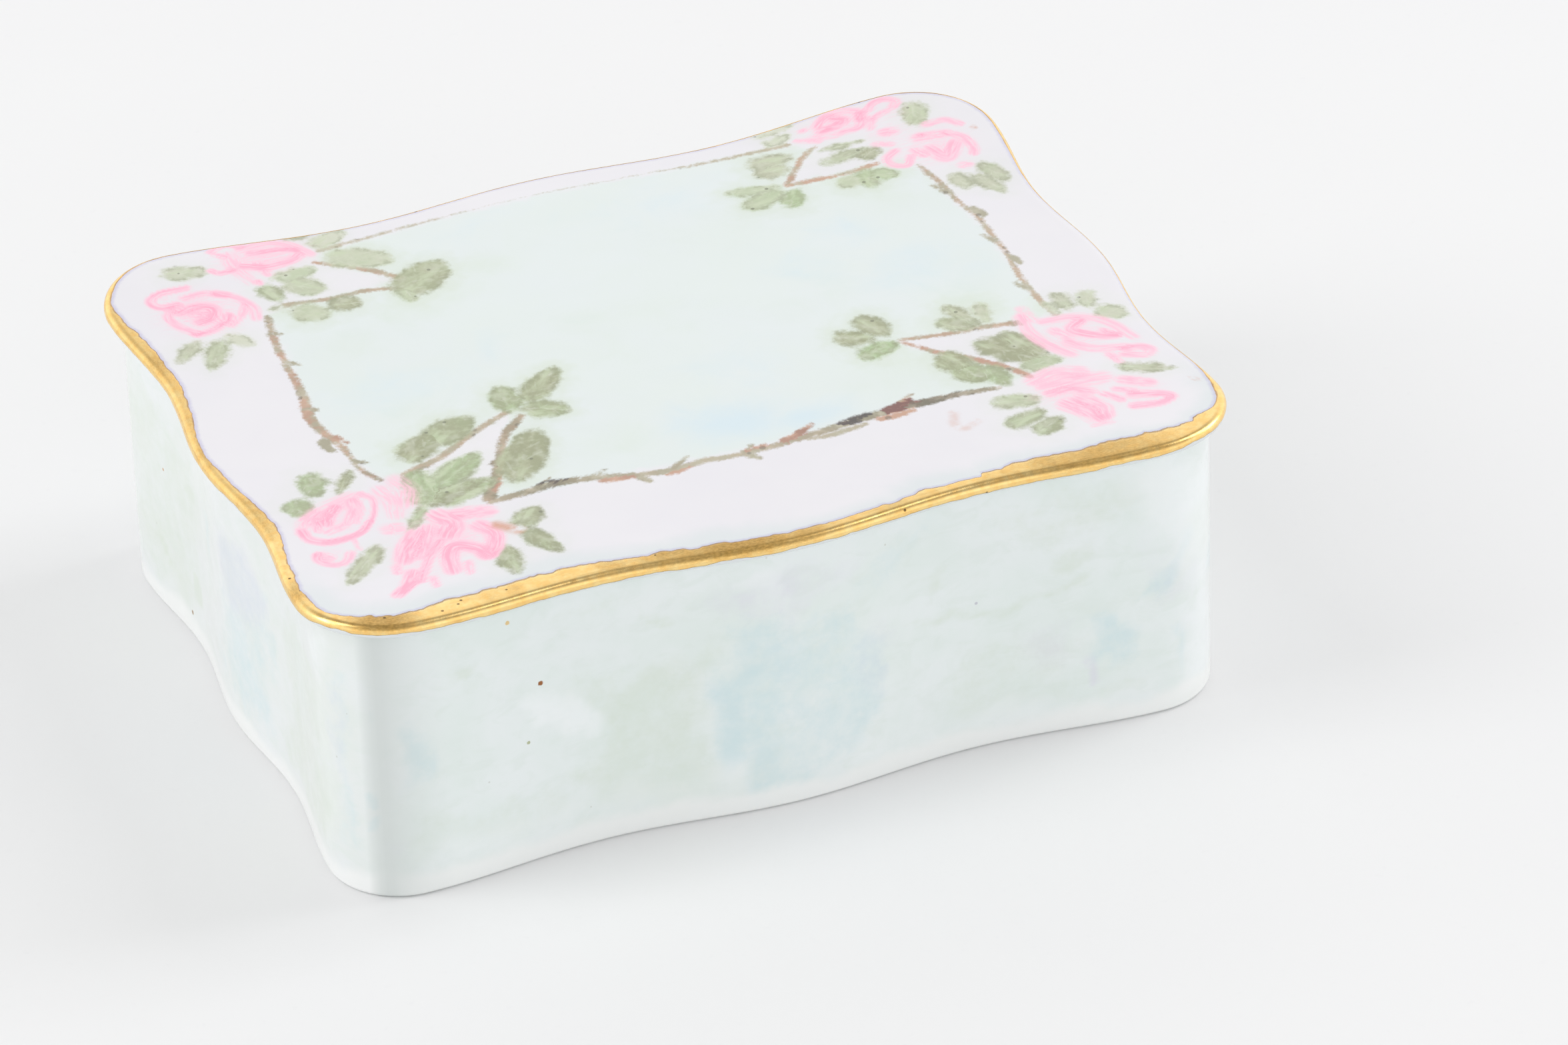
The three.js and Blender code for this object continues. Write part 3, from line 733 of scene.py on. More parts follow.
WALL_GREEN = [
    (0.6, 3.5, [(35, 28), (44, 30), (53, 29), (53, 20), (51, 12), (55, 4), (46, 3), (36, 5),
                (33, 14), (36, 20)]),
    (0.4, 3.0, [(7, 14), (13, 15), (20, 11), (32, 12), (34, 5), (22, 4), (10, 6), (5, 9)]),
    (0.4, 2.0, [(6, 13.5), (12, 14.5), (14, 10), (8, 9)]),
    (0.6, 1.5, [(15, 37), (19, 37), (18, 33.5), (15, 34)]),
    (0.35, 2.5, [(30, 43), (44, 43), (46, 38), (36, 37)]),
    (0.6, 1.2, [(43, 37.5), (48, 38), (48, 35.5), (44, 35.5)]),
    (0.5, 2.0, [(29, 26), (38, 30), (42, 27), (36, 22)]),
    (0.6, 1.7, [(82, 26.5), (90, 25), (104, 25.5), (111, 27.5), (110, 24.5), (98, 22.5),
                 (88, 23)]),
    (0.6, 1.5, [(86, 33), (90, 34), (91, 31), (87, 30)]),
    (0.6, 1.5, [(105, 32), (112, 33), (114, 30), (107, 29)]),
    (0.4, 3.5, [(88, 17), (98, 20), (109, 15), (108, 6), (96, 4), (86, 7)]),
    (0.4, 4.0, [(90, 38), (106, 43), (123, 43), (124, 36), (112, 33), (98, 34)]),
    (0.45, 2.0, [(112, 8), (121, 8), (119, 4), (113, 4)]),
    (0.7, 0.8, [(84, 2.4), (87, 2.6), (86, 1.2)]),
    (0.6, 3.0, [(-28, 35), (-14, 37), (-6, 33), (-4, 20), (-6, 6), (-18, 3), (-32, 5), (-33, 12),
                (-27, 17), (-29, 26)]),
    (0.5, 4.0, [(-100, 34), (-86, 38), (-70, 34), (-66, 24), (-70, 8), (-84, 4), (-98, 8),
                (-103, 20)]),
    (1.0, 1.2, [(-76, 29.5), (-70, 28.5), (-71, 26), (-75, 27)]),
    (0.8, 1.2, [(-80, 21.5), (-76, 20.5), (-77, 19), (-80, 19.5)]),
    (1.0, 1.2, [(-86.5, 13.5), (-84, 13), (-80, 9), (-82, 8.5)]),
    (0.9, 1.2, [(-73, 13), (-70, 14), (-69, 9), (-72, 8)]),
    (0.7, 1.2, [(-88, 18.5), (-85, 18.5), (-86, 16.5)]),
    (0.5, 2.0, [(-92, 36), (-84, 38), (-80, 34), (-88, 32)]),
]
WALL_LILAC = [
    (0.45, 2.5, [(49, 36), (56, 41), (66, 42), (76, 40), (72, 33), (60, 32)]),
    (0.8, 1.2, [(57, 39.5), (60, 38), (59, 34), (56.5, 35)]),
    (0.7, 1.2, [(62.5, 39.5), (66, 40), (66.5, 36), (63.5, 36)]),
    (0.35, 2.5, [(74, 28), (81, 30), (82, 20), (78, 12), (74, 18)]),
    (0.45, 2.5, [(99, 19), (107, 19), (108, 12), (101, 12)]),
    (1.0, 1.2, [(110.5, 13.5), (112.5, 13), (114, 9), (111.5, 9)]),
    (0.4, 2.5, [(117, 33), (126, 36), (129, 20), (121, 16)]),
    (0.6, 1.8, [(3, 10.5), (5.6, 10), (5.6, 6), (3, 6.5)]),
    (0.7, 3.5, [(-54, 35), (-40, 36), (-34, 31), (-38, 23), (-50, 20), (-55, 26)]),
    (0.3, 3.0, [(-100, 26), (-94, 28), (-90, 20), (-96, 14)]),
    (0.4, 1.5, [(-5, 34), (-2, 34), (-2, 20), (-5, 20)]),
]
WALL_PALE = [
    (0.8, 4.0, [(117, 43), (134, 43), (134, 2), (124, 2), (127, 20), (120, 30)]),
    (0.8, 1.5, [(24, 29), (30, 28), (37, 23), (36, 19), (30, 21), (25, 24)]),
    (0.5, 3.0, [(8, 9), (30, 8), (56, 10), (58, 3), (8, 2)]),
    (0.6, 1.5, [(58, 41), (64, 42), (63, 37), (58, 38)]),
    (0.5, 3.0, [(72, 9), (100, 8), (122, 7), (122, 2), (74, 2)]),
    (0.5, 3.0, [(-12, 43), (-6, 43), (-5, 4), (-8, 3), (-9, 20)]),
]
# How strong the grey-green band down the near-left corner is, going round the wall. It is partly a
# brushed wash and partly painted shade, the darker strip where the corner turns from the light.
CORNER_WASH_AND_SHADE = [
    (0, 0), (1.2, 0.6), (2.4, 0.95), (3.6, 0.9), (5, 0.65), (7, 0.4), (9.5, 0.2), (13, 0)]
# Specks in the glaze: distance round, height, radius and colour.
WALL_SPECKS = [
    (27.3, 30.4, 0.42, (150, 92, 40)), (25.5, 20.9, 0.3, (178, 184, 150)),
    (22.9, 42.2, 0.35, (224, 196, 140)), (93.5, 25.7, 0.25, (196, 198, 206)),
    (-81.5, 26.2, 0.3, (205, 172, 140)), (-75.0, 4.7, 0.38, (165, 138, 108)),
    (-104.0, 13.0, 0.3, (200, 175, 150)),
]
# The walls that are seen least are washed the same way, in patches spread at random.
FREE_WALL = (132, 345)
FREE_PATCHES = 12
FREE_CORNERS = 9
FREE_HEIGHTS = (8, 36)
FREE_REACH_ROUND = (4, 13)
FREE_REACH_UP = (4, 11)
FREE_UNEVEN = (0.5, 1.15)
FREE_SLANT = 0.4
FREE_STRENGTH = (0.3, 0.65)
FREE_SOFTNESS = (1.8, 3.6)


def free_patches(seed):
    """Uneven patches for the right and back walls, as rows for laid_patches."""
    source = np.random.RandomState(seed)
    turns = 2 * math.pi * np.arange(FREE_CORNERS) / FREE_CORNERS
    rows = []
    for _ in range(FREE_PATCHES):
        middle = np.array([source.uniform(*FREE_WALL), source.uniform(*FREE_HEIGHTS)])
        reach = np.array([source.uniform(*FREE_REACH_ROUND), source.uniform(*FREE_REACH_UP)])
        lengths = source.uniform(*FREE_UNEVEN, FREE_CORNERS)
        ways = np.stack([np.cos(turns) + FREE_SLANT * np.sin(turns), np.sin(turns)], axis=1)
        corners = middle + reach * ways * lengths[:, None]
        rows.append((source.uniform(*FREE_STRENGTH), source.uniform(*FREE_SOFTNESS), corners))
    return rows


# The waves that push the wall's patches about: their lengths, how much less the shorter ones
# do, and how far the longest one pushes.
STIR_LENGTHS = (23, 17, 12, 9, 7, 5.5, 4.5)
STIR_FALL = 0.6
STIR_REACH = 0.7


def stirred(spots, reach, seed):
    """Places pushed about by slow waves, so that what is laid at them has uneven edges."""
    source = np.random.RandomState(seed)
    moved = np.array(spots, dtype=float)
    for length in STIR_LENGTHS:
        for axis in (0, 1):
            turn, start = source.uniform(0, 2 * math.pi, 2)
            heading = (math.cos(turn), math.sin(turn))
            phase = 2 * math.pi * (spots @ heading) / length + start
            moved[:, axis] += reach * (length / STIR_LENGTHS[0]) ** STIR_FALL * np.sin(phase)
    return moved


def laid_patches(spots, patches):
    """The strongest of soft-edged patches, with (strength, softness, corners)."""
    spots = stirred(spots, STIR_REACH, seed=31)
    total = np.zeros(len(spots))
    for strength, softness, corners in patches:
        chosen = near(spots, np.array(corners, dtype=float), softness)
        depth = depth_in_polygon(spots[chosen], corners)
        share = np.clip(0.5 + depth / (2 * softness), 0, 1)
        total[chosen] = np.maximum(total[chosen], strength * share ** 2 * (3 - 2 * share))
    return total


def round_from_corner(points):
    """Distance round the walls from the near-left corner, and the whole way round."""
    corner = np.argmin(np.linalg.norm(points + (HALF_LENGTH, HALF_WIDTH), axis=1))
    step = np.linalg.norm(np.roll(points, -1, axis=0) - points, axis=1)
    reached = np.concatenate([[0], np.cumsum(np.roll(step, -corner))[:-1]])
    return np.roll(reached, corner), step.sum()


def speck_places():
    """Where each speck of the wall is, in millimetres, with its radius and colour."""
    points, normals, _ = stations(BASE_STATIONS)
    wall = points - normals * WALL_INSET
    around, wall_length = round_from_corner(wall)
    placed = []
    for distance, height, radius, shade in WALL_SPECKS:
        x, y = wall[np.argmin(np.abs(around - distance % wall_length))]
        placed.append(((float(x), float(y), float(warped(x, y, height))), radius, shade))
    return placed


def base_profile():
    """The base's section as (inset, z) rows, from the foot ring to the inside corner."""
    inner_wall = WALL_INSET + WALL_THICKNESS
    foot_inner = WALL_INSET + BOTTOM_ROUND + FOOT_WIDTH
    rows = [(foot_inner + FOOT_SLOPE, FOOT_HEIGHT), (foot_inner + 0.5, 0.45)]
    rows += arc(foot_inner - 0.25, FOOT_EDGE_ROUND, FOOT_EDGE_ROUND, -140, -90, 3)
    foot_outer = WALL_INSET + BOTTOM_ROUND
    rows += straight((foot_inner - FOOT_EDGE_ROUND, 0), (foot_outer, 0), 4)
    rows += arc(foot_outer, BOTTOM_ROUND, BOTTOM_ROUND, -90, 0, 8)
    rows += straight((WALL_INSET, BOTTOM_ROUND), (WALL_INSET, RIM_HEIGHT - RIM_ROUND), 44)
    rows += arc(WALL_INSET + RIM_ROUND, RIM_HEIGHT - RIM_ROUND, RIM_ROUND, 0, 90, 6)
    rows += arc(inner_wall - RIM_ROUND, RIM_HEIGHT - RIM_ROUND, RIM_ROUND, 90, 180, 6)
    floor_bend = FLOOR_THICKNESS + FLOOR_FILLET
    rows += straight((inner_wall, RIM_HEIGHT - RIM_ROUND), (inner_wall, floor_bend), 10)
    # A fault that was left in. This arc should start at 360 for a concave fillet.
    # From 180 it makes a ledge that slopes to 7 mm from the wall and cuts back under.
    rows += arc(inner_wall + FLOOR_FILLET, floor_bend, FLOOR_FILLET, 180, 270, 8)
    return rows


def make_base():
    """The base, with its outer glaze, white inner glaze and bare foot."""
    profile = base_profile()
    rings = wrap(profile, BASE_STATIONS)
    under = shrink(rings[0], BASE_UNDERSIDE)
    floor = shrink(rings[-1], BASE_FLOOR)
    rings = [*under, *rings, *floor]
    piece, points = loft("base_porcelain", rings)

    inner_wall = WALL_INSET + WALL_THICKNESS
    inset = [FAR] * len(under) + [row[0] for row in profile] + [FAR] * len(floor)
    height = [FOOT_HEIGHT] * len(under) + [row[1] for row in profile]
    height += [FLOOR_THICKNESS] * len(floor)
    crown = np.argmax(height)
    zones = []
    for i in range(len(rings) - 1):
        on_foot = max(height[i], height[i + 1]) < FOOT_BARE_BELOW
        outside = i < crown and inset[i] < inner_wall - RIM_ROUND
        zones.append(BARE if on_foot else PAINTED if outside else PLAIN)
    material_index = np.repeat(zones, BASE_STATIONS).tolist() + [PLAIN] * (2 * BASE_STATIONS)
    dress(piece, (
        wall_glaze(speck_places()), white_glaze("base_inner_glaze"), biscuit("base_bare_foot"),
    ), material_index)

    outline_points, outline_normals, _ = stations(BASE_STATIONS)
    around, wall_length = round_from_corner(outline_points - outline_normals * WALL_INSET)
    along = np.concatenate([np.tile(around, len(rings)), [0, 0]])
    heights = np.concatenate([np.repeat(height, BASE_STATIONS), [0, FLOOR_THICKNESS]])
    for name, patches, seed in (
        ("wash_blue", WALL_BLUE, 21), ("wash_green", WALL_GREEN, 22),
        ("wash_lilac", WALL_LILAC, 23), ("wash_pale", WALL_PALE, 24),
    ):
        field = np.zeros(len(points))
        for turn in (-wall_length, 0):
            spots = np.stack([along + turn, heights], axis=1)
            field = np.maximum(field, laid_patches(spots, patches + free_patches(seed)))
        store(piece, name, field)
    # The grey-green corner band: partly a brushed wash, partly painted shade.
    band = np.interp(along, *zip(*CORNER_WASH_AND_SHADE))
    store(piece, "corner_wash_and_painted_shade", band)
    store(piece, "height", heights)
    return piece


# ----------------------------------------
# The lid
# ----------------------------------------


def lid_profile():
    """The lid's section as (inset, z) rows, from the middle of its underside to its top."""
    underside = TOTAL_HEIGHT - LID_THICKNESS
    flange_outer = WALL_INSET + WALL_THICKNESS + FLANGE_CLEARANCE
    flange_inner = flange_outer + FLANGE_THICKNESS
    foot = underside - FLANGE_DEPTH
    bend = foot + FLANGE_ROUND
    rows = arc(flange_inner + FLANGE_FILLET, underside - FLANGE_FILLET, FLANGE_FILLET, 90, 0, 5)
    rows += arc(flange_inner - FLANGE_ROUND, bend, FLANGE_ROUND, 180, 270, 4)
    rows += arc(flange_outer + FLANGE_ROUND, bend, FLANGE_ROUND, 270, 360, 4)
    rows += arc(flange_outer - SEAT_FILLET, underside - SEAT_FILLET, SEAT_FILLET, 180, 90, 3)
    rows += straight((flange_outer - SEAT_FILLET, underside), (RIM_RADIUS, underside), 3)
    middle = TOTAL_HEIGHT - RIM_RADIUS
    rows += arc(RIM_RADIUS, middle, RIM_RADIUS - GILT_THICKNESS, -90, 90, RIM_STEPS)
    return rows


# Rings of the lid's top, as shares of its edge: close together down to FINE_UNTIL, where the
# painting is, then wider apart down to WIDER_UNTIL, then the last two.
FINE_SPACING = 0.0072
FINE_UNTIL = 0.52
FIRST_WIDER_SPACING = 0.012
WIDER_SPACING = 0.0125
WIDER_UNTIL = 0.2
LAST_SHARES = (0.15, 0.08)


def plan_shares():
    """The share of each ring of the lid's top, from its edge to its middle."""
    outer = np.arange(1 - FINE_SPACING, FINE_UNTIL, -FINE_SPACING)
    inner = np.arange(FINE_UNTIL - FIRST_WIDER_SPACING, WIDER_UNTIL, -WIDER_SPACING)
    return [*outer, *inner, *LAST_SHARES]


def make_lid():
    """The lid, with the painting kept on its points."""
    profile = lid_profile()
    rings = wrap(profile, LID_STATIONS)
    under = shrink(rings[0], LID_UNDERSIDE)
    top = shrink(rings[-1], plan_shares())
    rings = [*under, *rings, *top]
    piece, points = loft("lid_porcelain", rings)

    first_top = len(under) + len(profile) - (RIM_STEPS + 1)
    painted = np.arange(len(rings)) >= first_top
    zones = np.where(painted[:-1], PAINTED, PLAIN)
    foot = TOTAL_HEIGHT - LID_THICKNESS - FLANGE_DEPTH
    for i in range(len(under), first_top):
        if max(rings[i][0][2], rings[i + 1][0][2]) < foot + FLANGE_BARE_BELOW:
            zones[i] = BARE
    material_index = np.repeat(zones, LID_STATIONS).tolist()
    material_index += [PLAIN] * LID_STATIONS + [PAINTED] * LID_STATIONS
    dress(piece, (
        lid_paint(), white_glaze("lid_inner_glaze"), biscuit("lid_bare_flange_foot"),
    ), material_index)

    on_top = np.concatenate([np.repeat(painted, LID_STATIONS), [False, True]])
    paint_lid(piece, points, np.flatnonzero(on_top))
    return piece


def paint_lid(piece, points, chosen):
    """Works out every layer of the painting at the points of the lid's top."""
    plan = points[chosen, :2]

    def keep(name, values, elsewhere):
        whole = np.full(len(points), float(elsewhere))
        whole[chosen] = values
        store(piece, name, whole)

    keep("panel", depth_in_polygon(plan, PANEL), -20)
    keep("cloud_blue", soft_blobs(plan, BLUE_CLOUDS), 0)
    keep("cloud_green", soft_blobs(plan, GREEN_CLOUDS), 0)

    twig = np.full(len(plan), -9.0)
    twig_dark = np.zeros(len(plan))
    twig_red = np.zeros(len(plan))
    for widths, dark, red, line in TWIGS:
        depth, along, _ = depth_in_stroke(plan, line, widths)
        dark = np.interp(along, np.linspace(0, 1, np.size(dark)), np.atleast_1d(dark))
        closer = (depth > twig - TWIG_OVERLAP) & (depth > -TWIG_REACH)
        twig_dark = np.where(closer, dark, twig_dark)
        twig_red = np.where(closer, red, twig_red)
        twig = np.maximum(twig, depth)
    keep("twig", twig, -9)
    keep("twig_dark", twig_dark, 0)
    keep("twig_red", twig_red, 0)

    paint_leaves(plan, keep)

    rose = WASH_STRENGTH * soft_blobs(plan, ROSE_WASHES)
    topmost = np.full(len(plan), FAINTEST_STROKE)
    bristle_along, bristle_across = 0.2 * plan[:, 0], plan[:, 1]
    for order, (width, strength, line) in enumerate(ROSES):
        depth, along, across = depth_in_stroke(plan, line, np.multiply(ROSE_NARROWING, width))
        width = np.mean(width)
        laid = strength * np.clip(ROSE_EDGE + depth / (ROSE_SOFTNESS * width), 0, 1)
        rose = rose + laid * (1 - ROSE_LOSS * rose)
        on_top = laid > topmost
        topmost = np.where(on_top, laid, topmost)
        bristle_along = np.where(on_top, BRISTLE_SHIFT * order + along, bristle_along)
        bristle_across = np.where(on_top, across, bristle_across)
    keep("rose", np.minimum(rose, MOST_PINK), 0)
    keep("rose_along", bristle_along, 0)
    keep("rose_across", bristle_across, 0)

    rust = np.zeros(len(plan))
    for width, strength, line in RUST_TOUCHES:
        depth, _, _ = depth_in_stroke(plan, line, width)
        rust = np.maximum(rust, strength * np.clip(0.5 + depth / (0.5 * width), 0, 1))
    keep("rust", rust, 0)

    keep("gilt_gap", gap_to_gilding(plan), FAR_GAP)


def paint_leaves(plan, keep):
    """Each leaf's depth, and where a point is along its midrib (0 to 1) and across it."""
    leaf = np.full(len(plan), -12.0)
    merged = np.zeros(len(plan))
    names = ("leaf_along", "leaf_across", "leaf_green", "leaf_dark")
    fields = {name: np.zeros(len(plan)) for name in names}
    for x0, y0, x1, y1, width, green, dark in LEAVES:
        stem, tip = np.array([x0, y0]), np.array([x1, y1])
        length = np.linalg.norm(tip - stem)
        ahead = (tip - stem) / length
        sideways = np.array([-ahead[1], ahead[0]])
        length, width = LEAF_GROWTH * length, LEAF_GROWTH * width
        local = plan - (stem + tip) / 2
        along = local @ ahead / (length / 2)
        across = (local @ sideways) / (width / 2)
        taper = 1 + LEAF_TAPER * along
        size = np.sqrt(np.abs(along) ** LEAF_ROUNDNESS + np.abs(across * taper) ** 2 + 1e-9)
        depth = (1 - size) * width / 2
        far = size > 1
        from_edge = np.hypot(local @ ahead, local @ sideways) * (1 - 1 / size)
        depth = np.where(far, -from_edge, depth)
        closer = depth > leaf
        leaf = np.where(closer, depth, leaf)
        merged += np.exp(np.clip(depth, -12, 3) / LEAF_MERGE)
        for name, values in zip(names, (along * 0.5 + 0.5, across, green, dark)):
            fields[name] = np.where(closer, values, fields[name])
    keep("leaf", np.where(leaf > -12, LEAF_MERGE * np.log(merged + 1e-9), -12), -12)
    for name, values in fields.items():
        keep(name, values, 0)


# The gap to the gilding is worked out this near the ends and the long sides, in batches.
NEAR_END = 9
NEAR_SIDE = 11
FAR_GAP = 9.0
GAP_BATCHES = 60


def gap_to_gilding(plan):
    """How far in from the gilding's inner edge each point of the top is."""
    edge, normals, along = stations(GILT_STATIONS)
    reach = gilt_inner_edge(edge, normals, along / PERIMETER)
    gap = np.full(len(plan), FAR_GAP)
    at_end = np.abs(plan[:, 0]) > HALF_LENGTH - NEAR_END
    at_side = np.abs(plan[:, 1]) > HALF_WIDTH - NEAR_SIDE
    for part in np.array_split(np.flatnonzero(at_end | at_side), GAP_BATCHES):
        away = np.linalg.norm(plan[part, None, :] - edge[None, :, :], axis=2)
        nearest = away.argmin(axis=1)
        inset = away[np.arange(len(part)), nearest]
        gap[part] = rim_length(inset) - reach[nearest]
    return gap


# ----------------------------------------
# The gilding
# ----------------------------------------

ROUND_STEPS = 9
FLAT_STEPS = 5

# The film's round part ends at the top of the rim's bend, or at this share of a narrow film.
MOST_ON_ROUND = 0.8

# How thick the film's very edge is, as a share of its full thickness.
EDGE_SHARE = 0.35


def make_gilding():
    """A closed film of gold round the lid's rim, ragged where the brush left it."""
    points, normals, along = stations(GILT_STATIONS)
    share = along / PERIMETER
    inner = gilt_inner_edge(points, normals, share)
    lower = gilt_lower_edge(share)
    bend = np.minimum(RIM_RADIUS * math.pi / 2, lower + MOST_ON_ROUND * (inner - lower))
    rows = [lower + (bend - lower) * step / ROUND_STEPS for step in range(ROUND_STEPS)]
    rows += [bend + (inner - bend) * step / FLAT_STEPS for step in range(FLAT_STEPS + 1)]
    last = len(rows) - 1
    lifts = [EDGE_SHARE * GILT_THICKNESS, *[GILT_THICKNESS] * (last - 1), EDGE_SHARE * GILT_THICKNESS]
    sections = [
        film_ring(points, normals, row, lift - GILT_THICKNESS) for row, lift in zip(rows, lifts)]
    sections += [
        film_ring(points, normals, row, -GILT_THICKNESS - GILT_ROOT) for row in reversed(rows)]
    across = rows + rows[::-1]
    inwards = [inner - row for row in across]
    count = len(points)
    faces = stitched(count, ((i, (i + 1) % len(sections)) for i in range(len(sections))))
    flat = np.concatenate(sections)
    flat[:, 2] = warped(flat[:, 0], flat[:, 1], flat[:, 2])
    piece = make_mesh("lid_gilding", flat, faces)
    store(piece, "around", np.tile(along, len(sections)))
    store(piece, "across", np.concatenate(across))
    store(piece, "from_edge", np.concatenate(inwards))
    from_corner, whole = round_from_corner(points)
    from_corner = np.where(from_corner > whole / 2, from_corner - whole, from_corner)
    matt = np.zeros(count)
    for place, reach, strength in GILT_MATT:
        matt = np.maximum(matt, strength * np.exp(-((from_corner - place) / reach) ** 2))
    store(piece, "matt", np.tile(matt, len(sections)))
    store(piece, "breadth", np.tile(inner - lower, len(sections)))
    piece.data.materials.append(gold())
    return piece


def film_ring(points, normals, length, lift):
    """One ring of the film: a distance along the rim's surface, lifted off it."""
    inset, z, out, up = rim_point(length)
    flat = points - normals * (inset - lift * out)[:, None]
    return np.column_stack([flat, z + lift * up])


# ----------------------------------------
# Materials
# ----------------------------------------

# Where the front wall's colours turn into an end's, and where the lid's front rinse fades out.
END_FADE = (57.0, 66.0)
FRONT_FADE = (-46.0, -30.0)

# Display colours, 0 to 255 each.
GLAZE_WHITE = (246, 246, 244)
GLAZE_POOLED = (234, 238, 238)
GLAZE_GRIT = (150, 125, 100)
BISCUIT_PALE = (236, 230, 220)
BISCUIT_WARM = (222, 212, 198)
BISCUIT_GRAIN = (180, 165, 148)
FRONT_MINT = (226, 235, 232)
FRONT_PALE = (232, 238, 238)
END_MINT = (226, 231, 228)
END_PALE = (230, 234, 235)
BRUSHED_MINT = (219, 229, 223)
WASH_GREEN = (211, 222, 206)
WASH_BLUE = (202, 224, 228)
WASH_LILAC = (219, 217, 230)
WASH_PALE = (240, 244, 245)
FOOT_WHITE = (242, 243, 242)
# Painted shade, partly a wash, for the band down the near-left corner.
GREY_WASH_AND_SHADE = (204, 210, 208)
WALL_GRIT = (165, 165, 150)
LILAC_COOL = (231, 229, 234)
LILAC_PALE = (233, 231, 235)
MINT_WARM = (224, 232, 229)
MINT_COOL = (225, 232, 232)
CLOUD_GREEN = (216, 227, 214)
CLOUD_BLUE = (213, 229, 236)
LEAF_HAZE = (212, 222, 204)
FRONT_RINSE = (216, 224, 225)
GILT_HALO = (190, 186, 218)
BARK_SAGE = (187, 182, 157)
BARK_RUST = (202, 159, 132)
SHADE_SAGE = (110, 101, 68)
SHADE_RUST = (128, 72, 54)
DARKEST_SAGE = (56, 47, 40)
DARKEST_RUST = (114, 57, 46)
BARK_SPECK = (98, 88, 68)
RUST_DAB = (214, 158, 132)
SAGE_PALE = (215, 218, 199)
SAGE_DARK = (172, 175, 141)
LEAF_GREEN = (168, 191, 141)
LEAF_DEEP = (136, 139, 99)
LEAF_THIN = (209, 213, 193)
LEAF_STREAK = (196, 208, 172)
LEAF_VEIN = (216, 220, 202)
LEAF_EDGE = (142, 146, 116)
LEAF_SPECK = (104, 108, 80)
ROSE_PINK = (255, 198, 217)
ROSE_DEEP = (252, 169, 196)
GOLD_PALE = (255, 224, 154)
GOLD_WARM = (254, 208, 128)
GOLD_DULL = (212, 170, 94)
GOLD_GRAIN = (192, 150, 92)
GOLD_BRUSHED = (160, 126, 66)
GOLD_LINE = (190, 148, 92)
GOLD_EDGE = (150, 112, 98)
GOLD_PIT = (70, 52, 36)
SHEET_PALE = (243, 243, 243)
SHEET_COOL = (240, 240, 241)
SHEET_FIBRE = (225, 225, 228)


def linear(red, green, blue):
    """A display colour, 0 to 255 each, as the linear colour that a shader takes."""
    parts = []
    for value in (red, green, blue):
        share = value / 255
        parts.append(share / 12.92 if share <= 0.04045 else ((share + 0.055) / 1.055) ** 2.4)
    return (*parts, 1.0)


class Surface:
    """Builds one material's node tree, a short call for each node."""

    def __init__(self, name):
        self.material = bpy.data.materials.new(name)
        self.material.use_nodes = True
        self.tree = self.material.node_tree
        self.tree.nodes.clear()
        self.output = self.tree.nodes.new("ShaderNodeOutputMaterial")

    def node(self, kind, inputs=(), **settings):
        made = self.tree.nodes.new("ShaderNode" + kind)
        for name, value in settings.items():
            setattr(made, name, value)
        for key, value in dict(inputs).items():
            if isinstance(value, bpy.types.NodeSocket):
                self.tree.links.new(value, made.inputs[key])
            else:
                made.inputs[key].default_value = value
        return made

    def attribute(self, name):
        return self.node("Attribute", attribute_name=name).outputs["Fac"]

    def place(self, across=1.0, deep=1.0, up=1.0):
        """Object coordinates in millimetres, each way multiplied by a factor."""
        spot = self.node("TexCoord").outputs["Object"]
        factors = (across / MM, deep / MM, up / MM)
        return self.node(
            "VectorMath", {0: spot, 1: factors}, operation="MULTIPLY").outputs["Vector"]

    def noise(self, vector, scale, detail=2.0, roughness=0.5, distortion=0.0):
        """Noise from about 0 to 1, with its scale in lumps to the millimetre."""
        return self.node("TexNoise", {
            "Vector": vector, "Scale": scale, "Detail": detail, "Roughness": roughness,
            "Distortion": distortion,
        }).outputs["Fac"]

    def cells(self, vector, scale):
        """The outputs of a pattern of scattered dots, with its scale in dots to the millimetre."""
        return self.node("TexVoronoi", {"Vector": vector, "Scale": scale}).outputs

    def axis(self, vector, name):
        return self.node("SeparateXYZ", {0: vector}).outputs[name]

    def vector(self, *parts):
        return self.node("CombineXYZ", dict(enumerate(parts))).outputs[0]

    def maths(self, operation, first, second=0.0, clamp=False):
        return self.node(
            "Math", {0: first, 1: second}, operation=operation, use_clamp=clamp).outputs[0]

    def plus(self, first, second, clamp=False):
        return self.maths("ADD", first, second, clamp)

    def times(self, first, second, clamp=False):
        return self.maths("MULTIPLY", first, second, clamp)

    def step(self, value, low, high, start=0.0, end=1.0):
        """A smooth step from start to end as the value goes from low to high."""
        return self.node(
            "MapRange",
            {"Value": value, "From Min": low, "From Max": high, "To Min": start, "To Max": end},
            interpolation_type="SMOOTHSTEP").outputs[0]

    def swing(self, noise, reach):
        """Noise centred on nothing, reaching about this far either way."""
        return self.times(self.maths("SUBTRACT", noise, 0.5), 2 * reach)

    def mix(self, share, first, second):
        """Blends two colours by the share of the second. Each is a socket or a display colour."""
        first, second = (
            linear(*end) if isinstance(end, tuple) else end for end in (first, second))
        return self.node(
            "Mix", {"Factor": share, 6: first, 7: second}, data_type="RGBA").outputs[2]

    def bump(self, height, distance, strength=1.0):
        return self.node(
            "Bump",
            {"Height": height, "Distance": distance * MM, "Strength": strength}).outputs["Normal"]

    def finish(self, **inputs):
        named = {name.replace("_", " ").title(): value for name, value in inputs.items()}
        renamed = {"Specular Ior Level": "Specular IOR Level"}
        named = {renamed.get(name, name): value for name, value in named.items()}
        shader = self.node("BsdfPrincipled", named)
        self.tree.links.new(shader.outputs[0], self.output.inputs[0])
        return self.material


